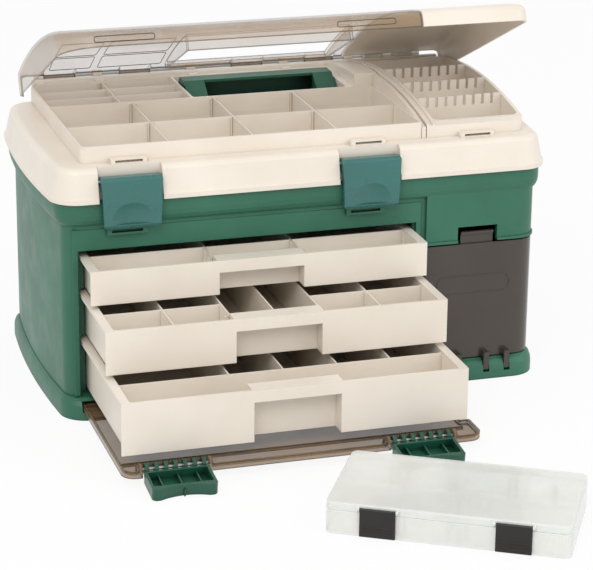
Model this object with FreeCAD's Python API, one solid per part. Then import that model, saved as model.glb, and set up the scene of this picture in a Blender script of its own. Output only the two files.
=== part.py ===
import FreeCAD, Part
import math
import os

from FreeCAD import Vector

# A free-standing fishing tackle cabinet, in millimetres, +Z up, front facing -Y.
# The origin is the centre of the case's footprint, on the floor.

# Case
CASE_WIDTH = 516.0
CASE_DEPTH = 276.0
CASE_HEIGHT = 234.5
CASE_WALL = 3.0
CASE_CORNER = 20.0
END_BOW = 9.0
FLOOR_THICKNESS = 3.0
FOOT_HEIGHT = 23.0
FOOT_SPREAD = 13.5
FOOT_END_SPREAD = 4.5
FOOT_EDGE = 10.0
RIM_HEIGHT = 25.0
RIM_SPREAD = 6.3
RIM_EDGE = 13.0
FRAME_PROUD = 1.2
FRAME_MARGIN = 9.0
FRAME_TOP = 205.5
FIT = 0.3
PLATE_WALL = 3.0

# Drawers: three trays hung on side lips, each standing out by its own amount
DRAWER_LEFT = 15.4
DRAWER_WIDTH = 361.6
DRAWER_LENGTH = 248.0
DRAWER_SETBACK = 10.0
DRAWER_WALL = 2.2
DRAWER_FRONT = 3.0
DRAWERS = {
    "top": {"floor": 138.5, "height": 36.5, "out": 56.0},
    "middle": {"floor": 87.0, "height": 46.6, "out": 120.0},
    "bottom": {"floor": 27.0, "height": 55.0, "out": 185.0},
}
LIP_REACH = 7.0
LIP_THICKNESS = 3.0
LIP_GAP = 1.0
RUNNER_GAP = 1.5
SLOT_HEADROOM = 4.0
PANEL_HEAD = 3.0
OPENING_MARGIN = 3.4
OPENING_TOP = 183.0
DECK_TOP = 23.0
DECK_LEG = 6.0
DIVIDER = 1.6
DIVIDER_DROP = 1.5
TROUGH_DEPTH = 52.0
PULL_WIDTH = 91.0
PULL_DEPTH = 18.0
PULL_STRIP = 13.0
PULL_LEDGE = 2.5

# Side bay, its wrapped panel and its drop-down door
PARTITION_GAP = 9.5
BAY_MARGIN = 4.0
WRAP_DEPTH = 26.0
WRAP_SPREAD = 4.0
WRAP_END_SPREAD = 0.5
PANEL_BOTTOM = 156.5
PANEL_BEAD = 3.0
BEAD_SPREAD = 1.5
NOTCH_WIDTH = 45.0
NOTCH_HEIGHT = 17.5
DOOR_GAP = 1.5
DOOR_WALL = 2.5
DOOR_PIN = 1.6
DOOR_BARREL = 3.4
DOOR_ARM = 6.0
DOOR_ARMS_AT = (0.1, 0.33, 0.64, 0.873)
DOOR_PIN_FRONT = 9.0
DOOR_PIN_HEIGHT = 12.0
DOOR_CORNER = 12.0

# Front cover, lying flat and drawn out, with two latches on its free edge
COVER_LENGTH = 192.0
COVER_PLATE = 2.5
COVER_RIM = 3.0
COVER_RIM_HEIGHT = 6.5
COVER_LIFT = 9.0
COVER_CORNER = 14.0
COVER_SIDE_GAP = 2.5
COVER_EAR = 10.0
COVER_EAR_LENGTH = 42.0
CLIP_INSET = (17.6, 21.0)
CLIP_WIDTH = 66.0
CLIP_LENGTH = 45.0
CLIP_HEIGHT = 12.0
CLIP_DROP = 10.0
CLIP_WALL = 3.0
CLIP_RINGS = 7
CLIP_RING = 6.5
CLIP_ROD = 2.0
CLIP_ROD_HEIGHT = 15.5
CLIP_BITE = 5.0

# Lid: a deep band with a raised tray block
LID_HEIGHT = 35.5
LID_SPREAD = 9.0
LID_DRAFT = 4.5
LID_WALL = 2.5
LID_ROUND = 8.0
LID_LIP = 1.5
LID_LIP_HEIGHT = 5.0
TRAY_INSET_LEFT = 23.0
TRAY_INSET_FRONT = 19.0
TRAY_INSET_BACK = 3.2
TRAY_RIM = 288.0
TRAY_WALL = 2.5
TRAY_DEPTH = 45.0
TRAY_SPLIT = 388.0
ROW_BACK = 178.0
CROWN_FRONT = 286.0
CROWN_PEAK = 304.0
CROWN_REAR = 291.0
RIDGE_LEFT = 396.0
RIDGE_WIDTH = 9.0
RIDGE_GROOVE = 4.0
RACK_LEFT = 408.0
RACK_WIDTH = 96.0
RACK_FRONT = 28.0
RACK_BACK = 262.0
RACK_DEPTH = 52.0
RACK_WALL = 3.5
RACK_CORNER = 10.0
RACK_BACK_CORNER = 24.0
COMB_AT = (79.0, 127.0, 187.0)
COMB_TEETH = 9
COMB_SLOT = 3.2
COMB_SLOT_DEPTH = 11.0
COMB_HEIGHT = 34.0
COMB_THICKNESS = 2.4
CATCH_WIDTH = 38.0
CATCH_DEPTH = 9.0
CATCH_HEIGHT = 5.0
CATCH_SLOT = (1.3, 3.8)
CATCH_SLOT_DEPTH = 6.0
CATCH_AT = (50.4, 309.0, 431.5)
CATCH_SLOT_INSET = 4.5

# Carrying handle, folded back into its well
HANDLE_LEFT = 185.0
HANDLE_WIDTH = 173.0
HANDLE_ARM = 23.0
HANDLE_GRIP = 24.0
HANDLE_HEIGHT = 26.0
HANDLE_PIVOT_BACK = 192.0
HANDLE_PIVOT_DROP = 18.0
HANDLE_REACH = 60.0
HANDLE_PIN = 3.0
HANDLE_KNEE = 17.0
HANDLE_CLEAR = 2.0
WELL_DEPTH = 40.0
WELL_BACK = 272.0

# Domed covers over the lid
DOME_INSET = 5.0
DOME_CORNER = 42.0
RACK_COVER_CORNER = 15.0
RACK_COVER_SIDE = 3.0
DOME_BACK_CORNER = 21.0
DOME_FRONT = 2.0
DOME_WALL = 2.4
DOME_LIFT = 3.0
DOME_ROUND = 8.0
DOME_SPLIT = 389.5
DOME_GAP = 1.5
DOME_OPEN = 24.4
HATCH_MARGIN = 7.0
HATCH_FRONT = 171.0
HATCH_BACK = 272.0
HINGE_BACK = 289.5
HINGE_HEIGHT = 293.0
HINGE_ROD = 2.0
HINGE_BARREL = 4.4
DOME_KNUCKLES = ((38.0, 74.0), (125.0, 160.5), (256.0, 293.0), (344.0, 378.5), (416.0, 438.0), (452.0, 474.0))
HINGE_LUG = 10.0
SHELF_HEIGHT = 279.0

# Lid latches and the lid's own hinge
LATCH_LEFT = (35.3, 293.0)
LATCH_WIDTH = 64.5
LATCH_TAPER = 2.4
LATCH_CORNER = 3.5
LATCH_BOTTOM = 208.0
LATCH_PIVOT_RISE = 21.2
LATCH_PIVOT_FRONT = 3.0
LATCH_ROUND = 5.5
LATCH_WALL = 4.0
LATCH_PIN = 1.6
LATCH_GAP = 1.5
SCOOP_RADIUS = 21.0
SCOOP_DEPTH = 3.0
KEEPER_HEIGHT = 7.0
KEEPER_REACH = 6.5
LID_HINGE_BACK = 14.5
LID_HINGE_HEIGHT = 1.5
LID_HINGE_ROD = 2.5
LID_HINGE_BARREL = 5.0
LID_KNUCKLES = ((60.0, 96.0), (414.0, 450.0))
KNUCKLE_GAP = 0.5

# Utility box standing on the floor in front, turned on the spot
BOX_LENGTH = 232.0
BOX_WIDTH = 127.0
BOX_HEIGHT = 32.0
BOX_CORNER = 8.0
BOX_WALL = 1.6
BOX_LID_HEIGHT = 8.0
BOX_TURN = -30.3
BOX_AT = (171.6, -338.5)
BOX_LATCHES = (33.6, 161.6)
BOX_LATCH_WIDTH = 34.0
BOX_LATCH_THICKNESS = 3.0
BOX_PIN = 1.2
BOX_BARREL = 2.6

LEFT = -CASE_WIDTH / 2
RIGHT = CASE_WIDTH / 2
FRONT = -CASE_DEPTH / 2
BACK = CASE_DEPTH / 2
THROUGH = 60.0
RUNNING = 0.05


def box(x, y, z):
    """A block between three pairs of coordinates."""
    return Part.makeBox(x[1] - x[0], y[1] - y[0], z[1] - z[0], Vector(x[0], y[0], z[0]))


def rod(x, y, z, radius):
    """A round bar along X between two x values."""
    return Part.makeCylinder(radius, x[1] - x[0], Vector(x[0], y, z), Vector(1, 0, 0))


def outline(x, y, z, corners):
    """A closed plan outline; radii start at the front left and run anticlockwise."""
    turns = [(x[0], y[0], (0, -1), (1, 0)), (x[1], y[0], (1, 0), (0, 1)),
             (x[1], y[1], (0, 1), (-1, 0)), (x[0], y[1], (-1, 0), (0, -1))]
    starts, ends, edges = [], [], []
    for (px, py, come, go), radius in zip(turns, corners):
        corner = Vector(px, py, z)
        inward = Vector(go[0] - come[0], go[1] - come[1], 0) * radius
        start = corner - Vector(come[0], come[1], 0) * radius
        end = corner + Vector(go[0], go[1], 0) * radius
        if radius > 0:
            middle = corner + inward * (1 - math.sqrt(0.5))
            edges.append(Part.Arc(start, middle, end).toShape())
        starts.append(start)
        ends.append(end)
    for here, end in enumerate(ends):
        edges.append(Part.makeLine(end, starts[(here + 1) % 4]))
    return Part.Wire(Part.__sortEdges__(edges))


def four(corner):
    """One radius for all four corners, unless four are given."""
    return corner if isinstance(corner, tuple) else (corner,) * 4


def slab(x, y, z, corner):
    """An upright prism with rounded plan corners."""
    face = Part.Face(outline(x, y, z[0], four(corner)))
    return face.extrude(Vector(0, 0, z[1] - z[0]))


def upright(edge):
    """True for a straight edge along Z."""
    start, end = edge.Vertexes[0].Point, edge.Vertexes[-1].Point
    return abs(start.x - end.x) < 1e-6 and abs(start.y - end.y) < 1e-6


def case_span(spread):
    """The case's plan without its bowed ends, made larger all round by a spread."""
    return (LEFT - spread, RIGHT + spread), (FRONT - spread, BACK + spread)


def case_outline(z, end_spread, side_spread):
    """The case's plan at a height: straight front and back, bowed ends, rounded corners."""
    x, _ = case_span(end_spread)
    _, y = case_span(side_spread)
    plan = ((x[0], y[0]), (x[1], y[0]), (x[1], y[1]), (x[0], y[1]))
    corners = [Vector(at_x, at_y, z) for at_x, at_y in plan]
    middle = (y[0] + y[1]) / 2
    edges = [Part.makeLine(corners[0], corners[1]),
             Part.Arc(corners[1], Vector(x[1] + END_BOW, middle, z), corners[2]).toShape(),
             Part.makeLine(corners[2], corners[3]),
             Part.Arc(corners[3], Vector(x[0] - END_BOW, middle, z), corners[0]).toShape()]
    plate = Part.Face(Part.Wire(edges)).extrude(Vector(0, 0, 1))
    corner = CASE_CORNER + (end_spread + side_spread) / 2
    plate = plate.makeFillet(corner, [edge for edge in plate.Edges if upright(edge)])
    return [face for face in plate.Faces if face.BoundBox.ZMax < z + FIT][0].OuterWire


def case_block(z, spread, end_spread=None):
    """An upright prism on the case's plan, made larger by a spread, or by another at its ends."""
    if end_spread is None:
        end_spread = spread
    return Part.Face(case_outline(z[0], end_spread, spread)).extrude(Vector(0, 0, z[1] - z[0]))


def case_loft(sections):
    """A closed body through the case's plan at several heights: height, end spread, side spread."""
    return Part.makeLoft([case_outline(*section) for section in sections], True, True)


def rounded_over(straight, edge, end_spread, side_spread):
    """Sections of a flange that stands straight up to a height and then rolls in to the wall."""
    sections = []
    for turn in (0, 25, 50, 70, 84):
        left = math.cos(math.radians(turn))
        height = straight + (edge - straight) * math.sin(math.radians(turn))
        sections.append((height, end_spread * left, side_spread * left))
    return sections


def side_prism(points, x):
    """A (y, z) polygon drawn out along X."""
    ring = [Vector(x[0], y, z) for y, z in points]
    face = Part.Face(Part.makePolygon(ring + ring[:1]))
    return face.extrude(Vector(x[1] - x[0], 0, 0))


def all_of(first, *others):
    """Pieces fused into one clean solid."""
    return first.multiFuse(list(others)).removeSplitter()


def cut_by(body, *tools):
    """A body with tools taken away."""
    return body.cut(list(tools)).removeSplitter()


def group(solids):
    """Separate solids kept in one node."""
    return Part.makeCompound(solids)


# Places worked out from the sizes above

LID_BASE = CASE_HEIGHT + FIT
LATCH_PIVOT_HEIGHT = LID_BASE + LATCH_PIVOT_RISE
HANDLE_PIVOT_HEIGHT = TRAY_RIM - HANDLE_PIVOT_DROP
LEDGE = LID_BASE + LID_HEIGHT
TRAY_X = (LEFT + TRAY_INSET_LEFT, LEFT + TRAY_SPLIT)
TRAY_Y = (FRONT + TRAY_INSET_FRONT, FRONT + ROW_BACK)
TRAY_FLOOR = TRAY_RIM - TRAY_DEPTH
TUB_TOP = LEDGE - LID_WALL
BLOCK_BACK = BACK + LID_SPREAD - LID_DRAFT - TRAY_INSET_BACK
DRAWER_X = (LEFT + DRAWER_LEFT, LEFT + DRAWER_LEFT + DRAWER_WIDTH)
TUB_X = (DRAWER_X[0] + LIP_REACH, DRAWER_X[1] - LIP_REACH)
DRAWER_MIDDLE = (DRAWER_X[0] + DRAWER_X[1]) / 2
PULL_X = (DRAWER_MIDDLE - PULL_WIDTH / 2, DRAWER_MIDDLE + PULL_WIDTH / 2)
PARTITION_X = (DRAWER_X[1] + PARTITION_GAP, DRAWER_X[1] + PARTITION_GAP + PLATE_WALL)
BAY_X = (PARTITION_X[1] + BAY_MARGIN, RIGHT)
STORAGE_TOP = OPENING_TOP + PLATE_WALL + 1.5
HINGE_Y = FRONT + HINGE_BACK
LID_HINGE_Y = BACK + LID_HINGE_BACK
LID_HINGE_Z = CASE_HEIGHT + LID_HINGE_HEIGHT
NOTCH_MIDDLE = (BAY_X[0] + RIGHT) / 2 - 5
NOTCH_X = (NOTCH_MIDDLE - NOTCH_WIDTH / 2, NOTCH_MIDDLE + NOTCH_WIDTH / 2)
DOOR_HINGE_Y = FRONT - DOOR_PIN_FRONT
DOOR_HINGE_Z = DOOR_PIN_HEIGHT
CROWN = Part.ArcOfCircle(
    Vector(0, FRONT + TRAY_INSET_FRONT, CROWN_FRONT),
    Vector(0, FRONT + CASE_DEPTH * 0.55, CROWN_PEAK),
    Vector(0, BACK + LID_SPREAD, CROWN_REAR))


def crown_height(y, lift):
    """The height of the crown's arc, lifted square to itself, at a place along Y."""
    return CROWN.Center.z + math.sqrt((CROWN.Radius + lift) ** 2 - (y - CROWN.Center.y) ** 2)


def arched(x, y, floor, lift):
    """A block with a flat floor whose top follows the crown's arc."""
    tops = [Vector(x[0], at, crown_height(at, lift)) for at in (y[0], (y[0] + y[1]) / 2, y[1])]
    low_back = Vector(x[0], y[1], floor)
    low_front = Vector(x[0], y[0], floor)
    edges = [Part.Arc(*tops).toShape(), Part.makeLine(tops[2], low_back),
             Part.makeLine(low_back, low_front), Part.makeLine(low_front, tops[0])]
    return Part.Face(Part.Wire(edges)).extrude(Vector(x[1] - x[0], 0, 0))


# Case

def case_foot():
    """The flange that the case stands on, slotted for the front cover and for the door's arms."""
    lowest = (0, FOOT_END_SPREAD, FOOT_SPREAD)
    flange = case_loft([lowest] + rounded_over(FOOT_EDGE, FOOT_HEIGHT, FOOT_END_SPREAD, FOOT_SPREAD))
    inner = case_block((-1, FOOT_HEIGHT + 1), 0)
    groove_x, _ = case_span(-2 * CASE_CORNER)
    groove = box(groove_x, (BACK + CASE_WALL, BACK + FOOT_SPREAD - CASE_WALL), (-1, FOOT_EDGE))
    slot_x, slot_z = cover_slot()
    slot = box(slot_x, (FRONT - THROUGH, FRONT + CASE_CORNER), slot_z)
    way_z = (DOOR_HINGE_Z - DOOR_BARREL - KNUCKLE_GAP, FOOT_HEIGHT + 1)
    arm_ways = [box((x[0] - KNUCKLE_GAP, x[1] + KNUCKLE_GAP), (FRONT - THROUGH, FRONT), way_z)
                for x in door_arm_spans()]
    return cut_by(flange, inner, groove, slot, door_pin_way(), *arm_ways)


def cover_slot():
    """The cover's way through the front wall: its width and its height."""
    x = (DRAWER_X[0] - OPENING_MARGIN, DRAWER_X[1] + OPENING_MARGIN + COVER_EAR)
    return x, (COVER_LIFT - FIT, DECK_TOP - PLATE_WALL)


def side_ring(spread, thickness, z, y_depth):
    """A length of wall that wraps round the front right corner."""
    end_spread = spread - WRAP_SPREAD + WRAP_END_SPREAD
    ring = case_block(z, spread, end_spread)
    ring = ring.cut(case_block(z, spread - thickness, end_spread - thickness))
    reach = box((BAY_X[0] - BAY_MARGIN + DOOR_GAP, RIGHT + THROUGH), (FRONT - THROUGH, FRONT + y_depth), z)
    return ring.common(reach)


def keeper(left):
    """The slotted ledge below a lid latch."""
    x = (left + 7, left + LATCH_WIDTH - 15)
    z = (LATCH_BOTTOM - 2 - KEEPER_HEIGHT, LATCH_BOTTOM - 2)
    ledge = box(x, (FRONT - KEEPER_REACH, FRONT + 1), z)
    slot = box((x[0] + 5, x[1] - 5), (FRONT - KEEPER_REACH - 1, FRONT - 2), (z[0] + 2.5, z[1] - 1.5))
    return ledge.cut(slot)


def case_knuckles():
    """The lower halves of the lid's hinge, on the back of the rim."""
    blanks, holes = [], []
    for left, right in LID_KNUCKLES:
        third = (right - left) / 3
        x = (LEFT + left + third + KNUCKLE_GAP, LEFT + right - third - KNUCKLE_GAP)
        blanks.append(rod(x, LID_HINGE_Y, LID_HINGE_Z, LID_HINGE_BARREL))
        web = ((BACK, LID_HINGE_Z - 14), (LID_HINGE_Y + 1, LID_HINGE_Z - LID_HINGE_BARREL),
               (LID_HINGE_Y, LID_HINGE_Z - 1), (LID_HINGE_Y - 3, CASE_HEIGHT - 1), (BACK, CASE_HEIGHT - 1))
        blanks.append(side_prism(web, x))
        holes.append(rod((x[0] - 1, x[1] + 1), LID_HINGE_Y, LID_HINGE_Z, LID_HINGE_ROD))
    return blanks, holes


def door_arm_spans():
    """Where the door's arms reach down to their pin, along X."""
    first = BAY_X[0]
    width = RIGHT - CASE_CORNER - first
    return [(first + width * share, first + width * share + DOOR_ARM) for share in DOOR_ARMS_AT]


def door_pin_way():
    """The door's pin as a solid, from before the first arm to past the last."""
    spans = door_arm_spans()
    return rod((spans[0][0] - DOOR_BARREL, spans[-1][1] + DOOR_BARREL), DOOR_HINGE_Y, DOOR_HINGE_Z, DOOR_PIN)


def base_case():
    """The outer case: a deep open box with a front opening and a wrapped side opening."""
    shell = case_block((0, CASE_HEIGHT), 0)
    rim = case_loft([(CASE_HEIGHT, RIM_SPREAD, RIM_SPREAD)]
                    + rounded_over(CASE_HEIGHT - RIM_EDGE, CASE_HEIGHT - RIM_HEIGHT, RIM_SPREAD, RIM_SPREAD))
    panel = side_ring(WRAP_SPREAD, WRAP_SPREAD + 1, (PANEL_BOTTOM, CASE_HEIGHT - RIM_EDGE), WRAP_DEPTH)
    bead = side_ring(WRAP_SPREAD + BEAD_SPREAD, WRAP_SPREAD + 2, (PANEL_BOTTOM, PANEL_BOTTOM + PANEL_BEAD),
                     WRAP_DEPTH)
    frame = box((DRAWER_X[0] - FRAME_MARGIN, DRAWER_X[1] + FRAME_MARGIN), (FRONT - FRAME_PROUD, FRONT + 1),
                (FOOT_HEIGHT + FIT, FRAME_TOP))
    frame = frame.makeChamfer(FRAME_PROUD / 2, [edge for edge in frame.Edges if edge.BoundBox.YMax < FRONT])
    keepers = [keeper(LEFT + left) for left in LATCH_LEFT]
    knuckles, pin_holes = case_knuckles()
    solid = all_of(shell, rim, panel, bead, frame, *keepers, *knuckles)
    cavity = case_block((FLOOR_THICKNESS, CASE_HEIGHT + 1), -CASE_WALL)
    front_wall = (FRONT - THROUGH, FRONT + CASE_CORNER)
    opening = box((DRAWER_X[0] - OPENING_MARGIN, DRAWER_X[1] + OPENING_MARGIN), front_wall,
                  (DECK_TOP - PLATE_WALL - 1, OPENING_TOP))
    slot_x, slot_z = cover_slot()
    slot = box(slot_x, front_wall, slot_z)
    doorway = box((BAY_X[0], RIGHT + THROUGH), (FRONT - THROUGH, FRONT + WRAP_DEPTH),
                  (FOOT_HEIGHT, PANEL_BOTTOM))
    notch = box(NOTCH_X, front_wall, (PANEL_BOTTOM - 1, PANEL_BOTTOM + NOTCH_HEIGHT))
    return cut_by(solid, cavity, opening, slot, doorway, notch, *pin_holes)


def storage_floor():
    """The floor of the store under the lid, resting on the runner panels and the partition."""
    inner_x, inner_y = case_span(-CASE_WALL - FIT)
    plate = case_block((STORAGE_TOP - PLATE_WALL, STORAGE_TOP), -CASE_WALL - FIT)
    raised = slab((inner_x[0] + 14, inner_x[1] - 14), (inner_y[0] + 14, inner_y[1] - 14),
                  (STORAGE_TOP - 1.2, STORAGE_TOP + 1), 12)
    return cut_by(plate, raised)


def bay_deck():
    """The deck under the drawers; the cover slides in below it."""
    inner_x, inner_y = case_span(-CASE_WALL - FIT)
    plate = case_block((DECK_TOP - PLATE_WALL, DECK_TOP), -CASE_WALL - FIT)
    leg_y = (inner_y[0] + CASE_CORNER, inner_y[1] - CASE_CORNER)
    leg_z = (FLOOR_THICKNESS, DECK_TOP - 1)
    legs = [box((x, x + DECK_LEG), leg_y, leg_z) for x in (inner_x[0], inner_x[1] - DECK_LEG)]
    return all_of(plate, *legs)


def bay_partition():
    """The wall between the drawers and the side bay."""
    y = (FRONT + CASE_WALL + FIT, BACK - CASE_WALL - FIT)
    return box(PARTITION_X, y, (DECK_TOP, STORAGE_TOP - PLATE_WALL))


def runner_panel(side):
    """A slotted side panel that the drawer lips run in."""
    y = (FRONT + CASE_WALL + FIT, BACK - CASE_WALL - FIT)
    z = (DECK_TOP, STORAGE_TOP - PLATE_WALL)
    if side == "left":
        x = (LEFT + CASE_WALL + FIT, TUB_X[0] - RUNNER_GAP)
        slot_x = (DRAWER_X[0] - LIP_GAP, TUB_X[0])
    else:
        x = (TUB_X[1] + RUNNER_GAP, PARTITION_X[0])
        slot_x = (TUB_X[1], DRAWER_X[1] + LIP_GAP)
    slots = [box(slot_x, (y[0] - 1, FRONT + DRAWER_SETBACK + DRAWER_FRONT + FIT),
                 (z[0] - 1, z[1] - PANEL_HEAD))]
    for drawer in DRAWERS.values():
        lip = drawer["floor"] + drawer["height"]
        slots.append(box(slot_x, (y[0] - 1, y[1] - 8), (lip - LIP_THICKNESS - FIT, lip + SLOT_HEADROOM)))
    inside = case_block(z, -CASE_WALL - FIT)
    return cut_by(box(x, y, z).common(inside), *slots)


# Drawers

def drawer_y(out):
    """Front and back of a drawer that stands out by some amount."""
    front = FRONT + DRAWER_SETBACK - out
    return front, front + DRAWER_LENGTH


def drawer_tray(floor, height, out):
    """A tub with a full-width front, side lips and a finger pull under its top edge."""
    y = drawer_y(out)
    top = floor + height
    tub = box(TUB_X, y, (floor, top))
    front = slab(DRAWER_X, (y[0], y[0] + DRAWER_FRONT), (floor, top), 0.8)
    lips = box(DRAWER_X, (y[0] + 1, y[1]), (top - LIP_THICKNESS, top))
    hollow = slab((TUB_X[0] + DRAWER_WALL, TUB_X[1] - DRAWER_WALL), (y[0] + DRAWER_FRONT, y[1] - DRAWER_WALL),
                  (floor + DRAWER_WALL, top + 1), 3)
    pull_back = y[0] + PULL_DEPTH
    pull_wall = box((PULL_X[0] - DRAWER_WALL, PULL_X[1] + DRAWER_WALL), (y[0], pull_back + DRAWER_WALL),
                    (floor, top))
    strip = top - PULL_STRIP
    pull = box(PULL_X, (y[0] - 1, pull_back), (floor - 1, strip))
    behind = box(PULL_X, (y[0] + DRAWER_FRONT, pull_back), (floor - 1, top - PULL_LEDGE))
    body = cut_by(all_of(tub, front, lips), hollow)
    return cut_by(all_of(body, pull_wall), pull, behind)


def drawer_dividers(name):
    """The loose partitions of one drawer, each a plate of its own."""
    drawer = DRAWERS[name]
    y = drawer_y(drawer["out"])
    z = (drawer["floor"] + DRAWER_WALL, drawer["floor"] + drawer["height"] - DIVIDER_DROP)
    inner_x = (TUB_X[0] + DRAWER_WALL, TUB_X[1] - DRAWER_WALL)
    inner_y = (y[0] + DRAWER_FRONT, y[1] - DRAWER_WALL)
    pull_back = y[0] + PULL_DEPTH + DRAWER_WALL
    pull_sides = (PULL_X[0] - DIVIDER, PULL_X[1] + DIVIDER)
    trough = (y[0] + TROUGH_DEPTH, y[0] + TROUGH_DEPTH + DIVIDER)
    plates = []
    if name == "top":
        for x in pull_sides:
            plates.append(box((x - DIVIDER / 2, x + DIVIDER / 2), (pull_back, inner_y[1]), z))
        edges = (inner_x[0] - DIVIDER / 2, *pull_sides, inner_x[1] + DIVIDER / 2)
        for low, high in zip(edges, edges[1:]):
            plates.append(box((low + DIVIDER / 2, high - DIVIDER / 2), trough, z))
    if name == "middle":
        outer = ((inner_x[0] + pull_sides[0]) / 2, (inner_x[1] + pull_sides[1]) / 2)
        for x in outer:
            plates.append(box((x - DIVIDER / 2, x + DIVIDER / 2), inner_y, z))
        for x in (pull_sides[0], DRAWER_MIDDLE, pull_sides[1]):
            plates.append(box((x - DIVIDER / 2, x + DIVIDER / 2), (pull_back, inner_y[1]), z))
        left = (inner_x[0] - DIVIDER / 2, outer[0], pull_sides[0])
        right = (pull_sides[1], outer[1], inner_x[1] + DIVIDER / 2)
        for low, high in (left[:2], left[1:], right[:2], right[1:]):
            plates.append(box((low + DIVIDER / 2, high - DIVIDER / 2), trough, z))
    if name == "bottom":
        plates.append(box(inner_x, trough, z))
        column = (inner_x[1] - inner_x[0]) / 6
        for step in (2, 3, 4, 5):
            x = inner_x[0] + column * step
            plates.append(box((x - DIVIDER / 2, x + DIVIDER / 2), (trough[1], inner_y[1]), z))
    return group(plates)


# Front cover and its latches

def cover_x():
    """The cover's width between the sides of its slot."""
    slot_x, _ = cover_slot()
    return slot_x[0] + COVER_SIDE_GAP / 2, slot_x[1] - COVER_EAR - COVER_SIDE_GAP / 2


def clip_spans():
    """Where the two cover latches lie along X."""
    first = DRAWER_X[0] + CLIP_INSET[0]
    last = DRAWER_X[1] - CLIP_INSET[1] - CLIP_WIDTH
    return [(left, left + CLIP_WIDTH) for left in (first, last)]


CLIP_Y = FRONT - COVER_LENGTH + CLIP_RING


def front_cover():
    """A flat see-through cover with a raised rim, two ribs and bays for its latches."""
    x = cover_x()
    y = (FRONT - COVER_LENGTH, FRONT)
    z = (COVER_LIFT, COVER_LIFT + COVER_PLATE)
    rim_z = (COVER_LIFT, COVER_LIFT + COVER_RIM_HEIGHT)
    corners = (COVER_CORNER, COVER_CORNER, 0, 0)
    inner_corner = COVER_CORNER - COVER_RIM
    plate = slab(x, y, rim_z, corners)
    ear_y = (y[0], y[0] + COVER_EAR_LENGTH)
    ear = slab((x[1] - COVER_CORNER * 2, x[1] + COVER_EAR), ear_y, rim_z, (0, COVER_CORNER, 3, 0))
    hollow = slab((x[0] + COVER_RIM, x[1] - COVER_RIM), (y[0] + COVER_RIM, y[1] - COVER_RIM),
                  (z[1], rim_z[1] + 1), (inner_corner, inner_corner, 1, 1))
    ear_hollow = slab((x[1] - COVER_CORNER * 2, x[1] + COVER_EAR - COVER_RIM),
                      (ear_y[0] + COVER_RIM, ear_y[1] - COVER_RIM), (z[1], rim_z[1] + 1),
                      (0, inner_corner, 1, 0))
    body = cut_by(all_of(plate, ear), hollow, ear_hollow)
    ribs = [box((x[0] + COVER_RIM, x[1] - COVER_RIM), (y[0] + at, y[0] + at + 2), (z[0], rim_z[1] - 1))
            for at in (26, 150)]
    bays, cheeks, holes = [], [], []
    for span in clip_spans():
        bays.append(box((span[0] - 0.5, span[1] + 0.5), (y[0] - 1, CLIP_Y + CLIP_RING + 1), (0, THROUGH)))
        for side in ((span[0] - 4.5, span[0] - 0.5), (span[1] + 0.5, span[1] + 4.5)):
            cheek = box(side, (CLIP_Y - CLIP_RING, CLIP_Y + CLIP_RING), (z[0], CLIP_ROD_HEIGHT))
            cheeks += [cheek, rod(side, CLIP_Y, CLIP_ROD_HEIGHT, CLIP_RING)]
        holes.append(rod((span[0] - 4.5, span[1] + 4.5), CLIP_Y, CLIP_ROD_HEIGHT, CLIP_ROD))
        back_rib = (CLIP_Y + CLIP_RING + 1, CLIP_Y + CLIP_RING + 3)
        ribs.append(box((span[0] - 4.5, span[1] + 4.5), back_rib, (z[0], rim_z[1])))
    body = cut_by(all_of(body, *ribs), *bays)
    return cut_by(all_of(body, *cheeks), *holes)


def clip_rods():
    """The two rods that the cover latches turn on."""
    return group([rod((span[0] - 4.5, span[1] + 4.5), CLIP_Y, CLIP_ROD_HEIGHT, CLIP_ROD)
                  for span in clip_spans()])


def cover_latch(span):
    """A hollow latch with a ringed barrel and a scooped lip, tipped until it meets the floor."""
    near = CLIP_Y - CLIP_RING - 1
    far = CLIP_Y - CLIP_LENGTH
    low = CLIP_ROD_HEIGHT - CLIP_DROP
    body = slab(span, (far, near), (low, low + CLIP_HEIGHT), (5, 5, 2, 2))
    pocket = slab((span[0] + CLIP_WALL, span[1] - CLIP_WALL), (far + CLIP_WALL, near - CLIP_WALL),
                  (low + CLIP_WALL, low + CLIP_HEIGHT + 1), (3, 3, 1, 1))
    middle = (span[0] + span[1]) / 2
    bite_radius = (CLIP_WIDTH * 0.38) ** 2 / (2 * CLIP_BITE)
    bite = Part.makeCylinder(bite_radius, THROUGH, Vector(middle, far - bite_radius + CLIP_BITE, 0))
    lip = slab((span[0] + 1, span[1] - 1), (far + CLIP_WALL, far + CLIP_WALL + CLIP_BITE),
               (low, low + CLIP_HEIGHT), 2)
    body = cut_by(all_of(cut_by(body, pocket), lip), bite)
    ribs, rings = [], []
    pitch = (CLIP_WIDTH - 8) / (CLIP_RINGS - 1)
    for step in range(CLIP_RINGS):
        x = span[0] + 4 + pitch * step
        ring_x = (x - 2, x + 2)
        rings.append(rod(ring_x, CLIP_Y, CLIP_ROD_HEIGHT, CLIP_RING))
        rings.append(box(ring_x, (near - 1, CLIP_Y), (low + 2, CLIP_ROD_HEIGHT)))
        ribs.append(box((x - 0.8, x + 0.8), (far + CLIP_WALL, near), (low, low + CLIP_HEIGHT - 4)))
    hole = rod((span[0] - 1, span[1] + 1), CLIP_Y, CLIP_ROD_HEIGHT, CLIP_ROD + RUNNING)
    latch = cut_by(all_of(body, *rings, *ribs[1:-1:2]), hole)
    latch.rotate(Vector(0, CLIP_Y, CLIP_ROD_HEIGHT), Vector(1, 0, 0), latch_tip())
    return latch


def latch_tip():
    """The angle that brings the latch's lip down to the floor."""
    reach = math.hypot(CLIP_LENGTH, CLIP_DROP)
    down = math.asin((CLIP_ROD_HEIGHT - FIT) / reach)
    return math.degrees(down - math.atan2(CLIP_DROP, CLIP_LENGTH))


# Lid

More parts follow.
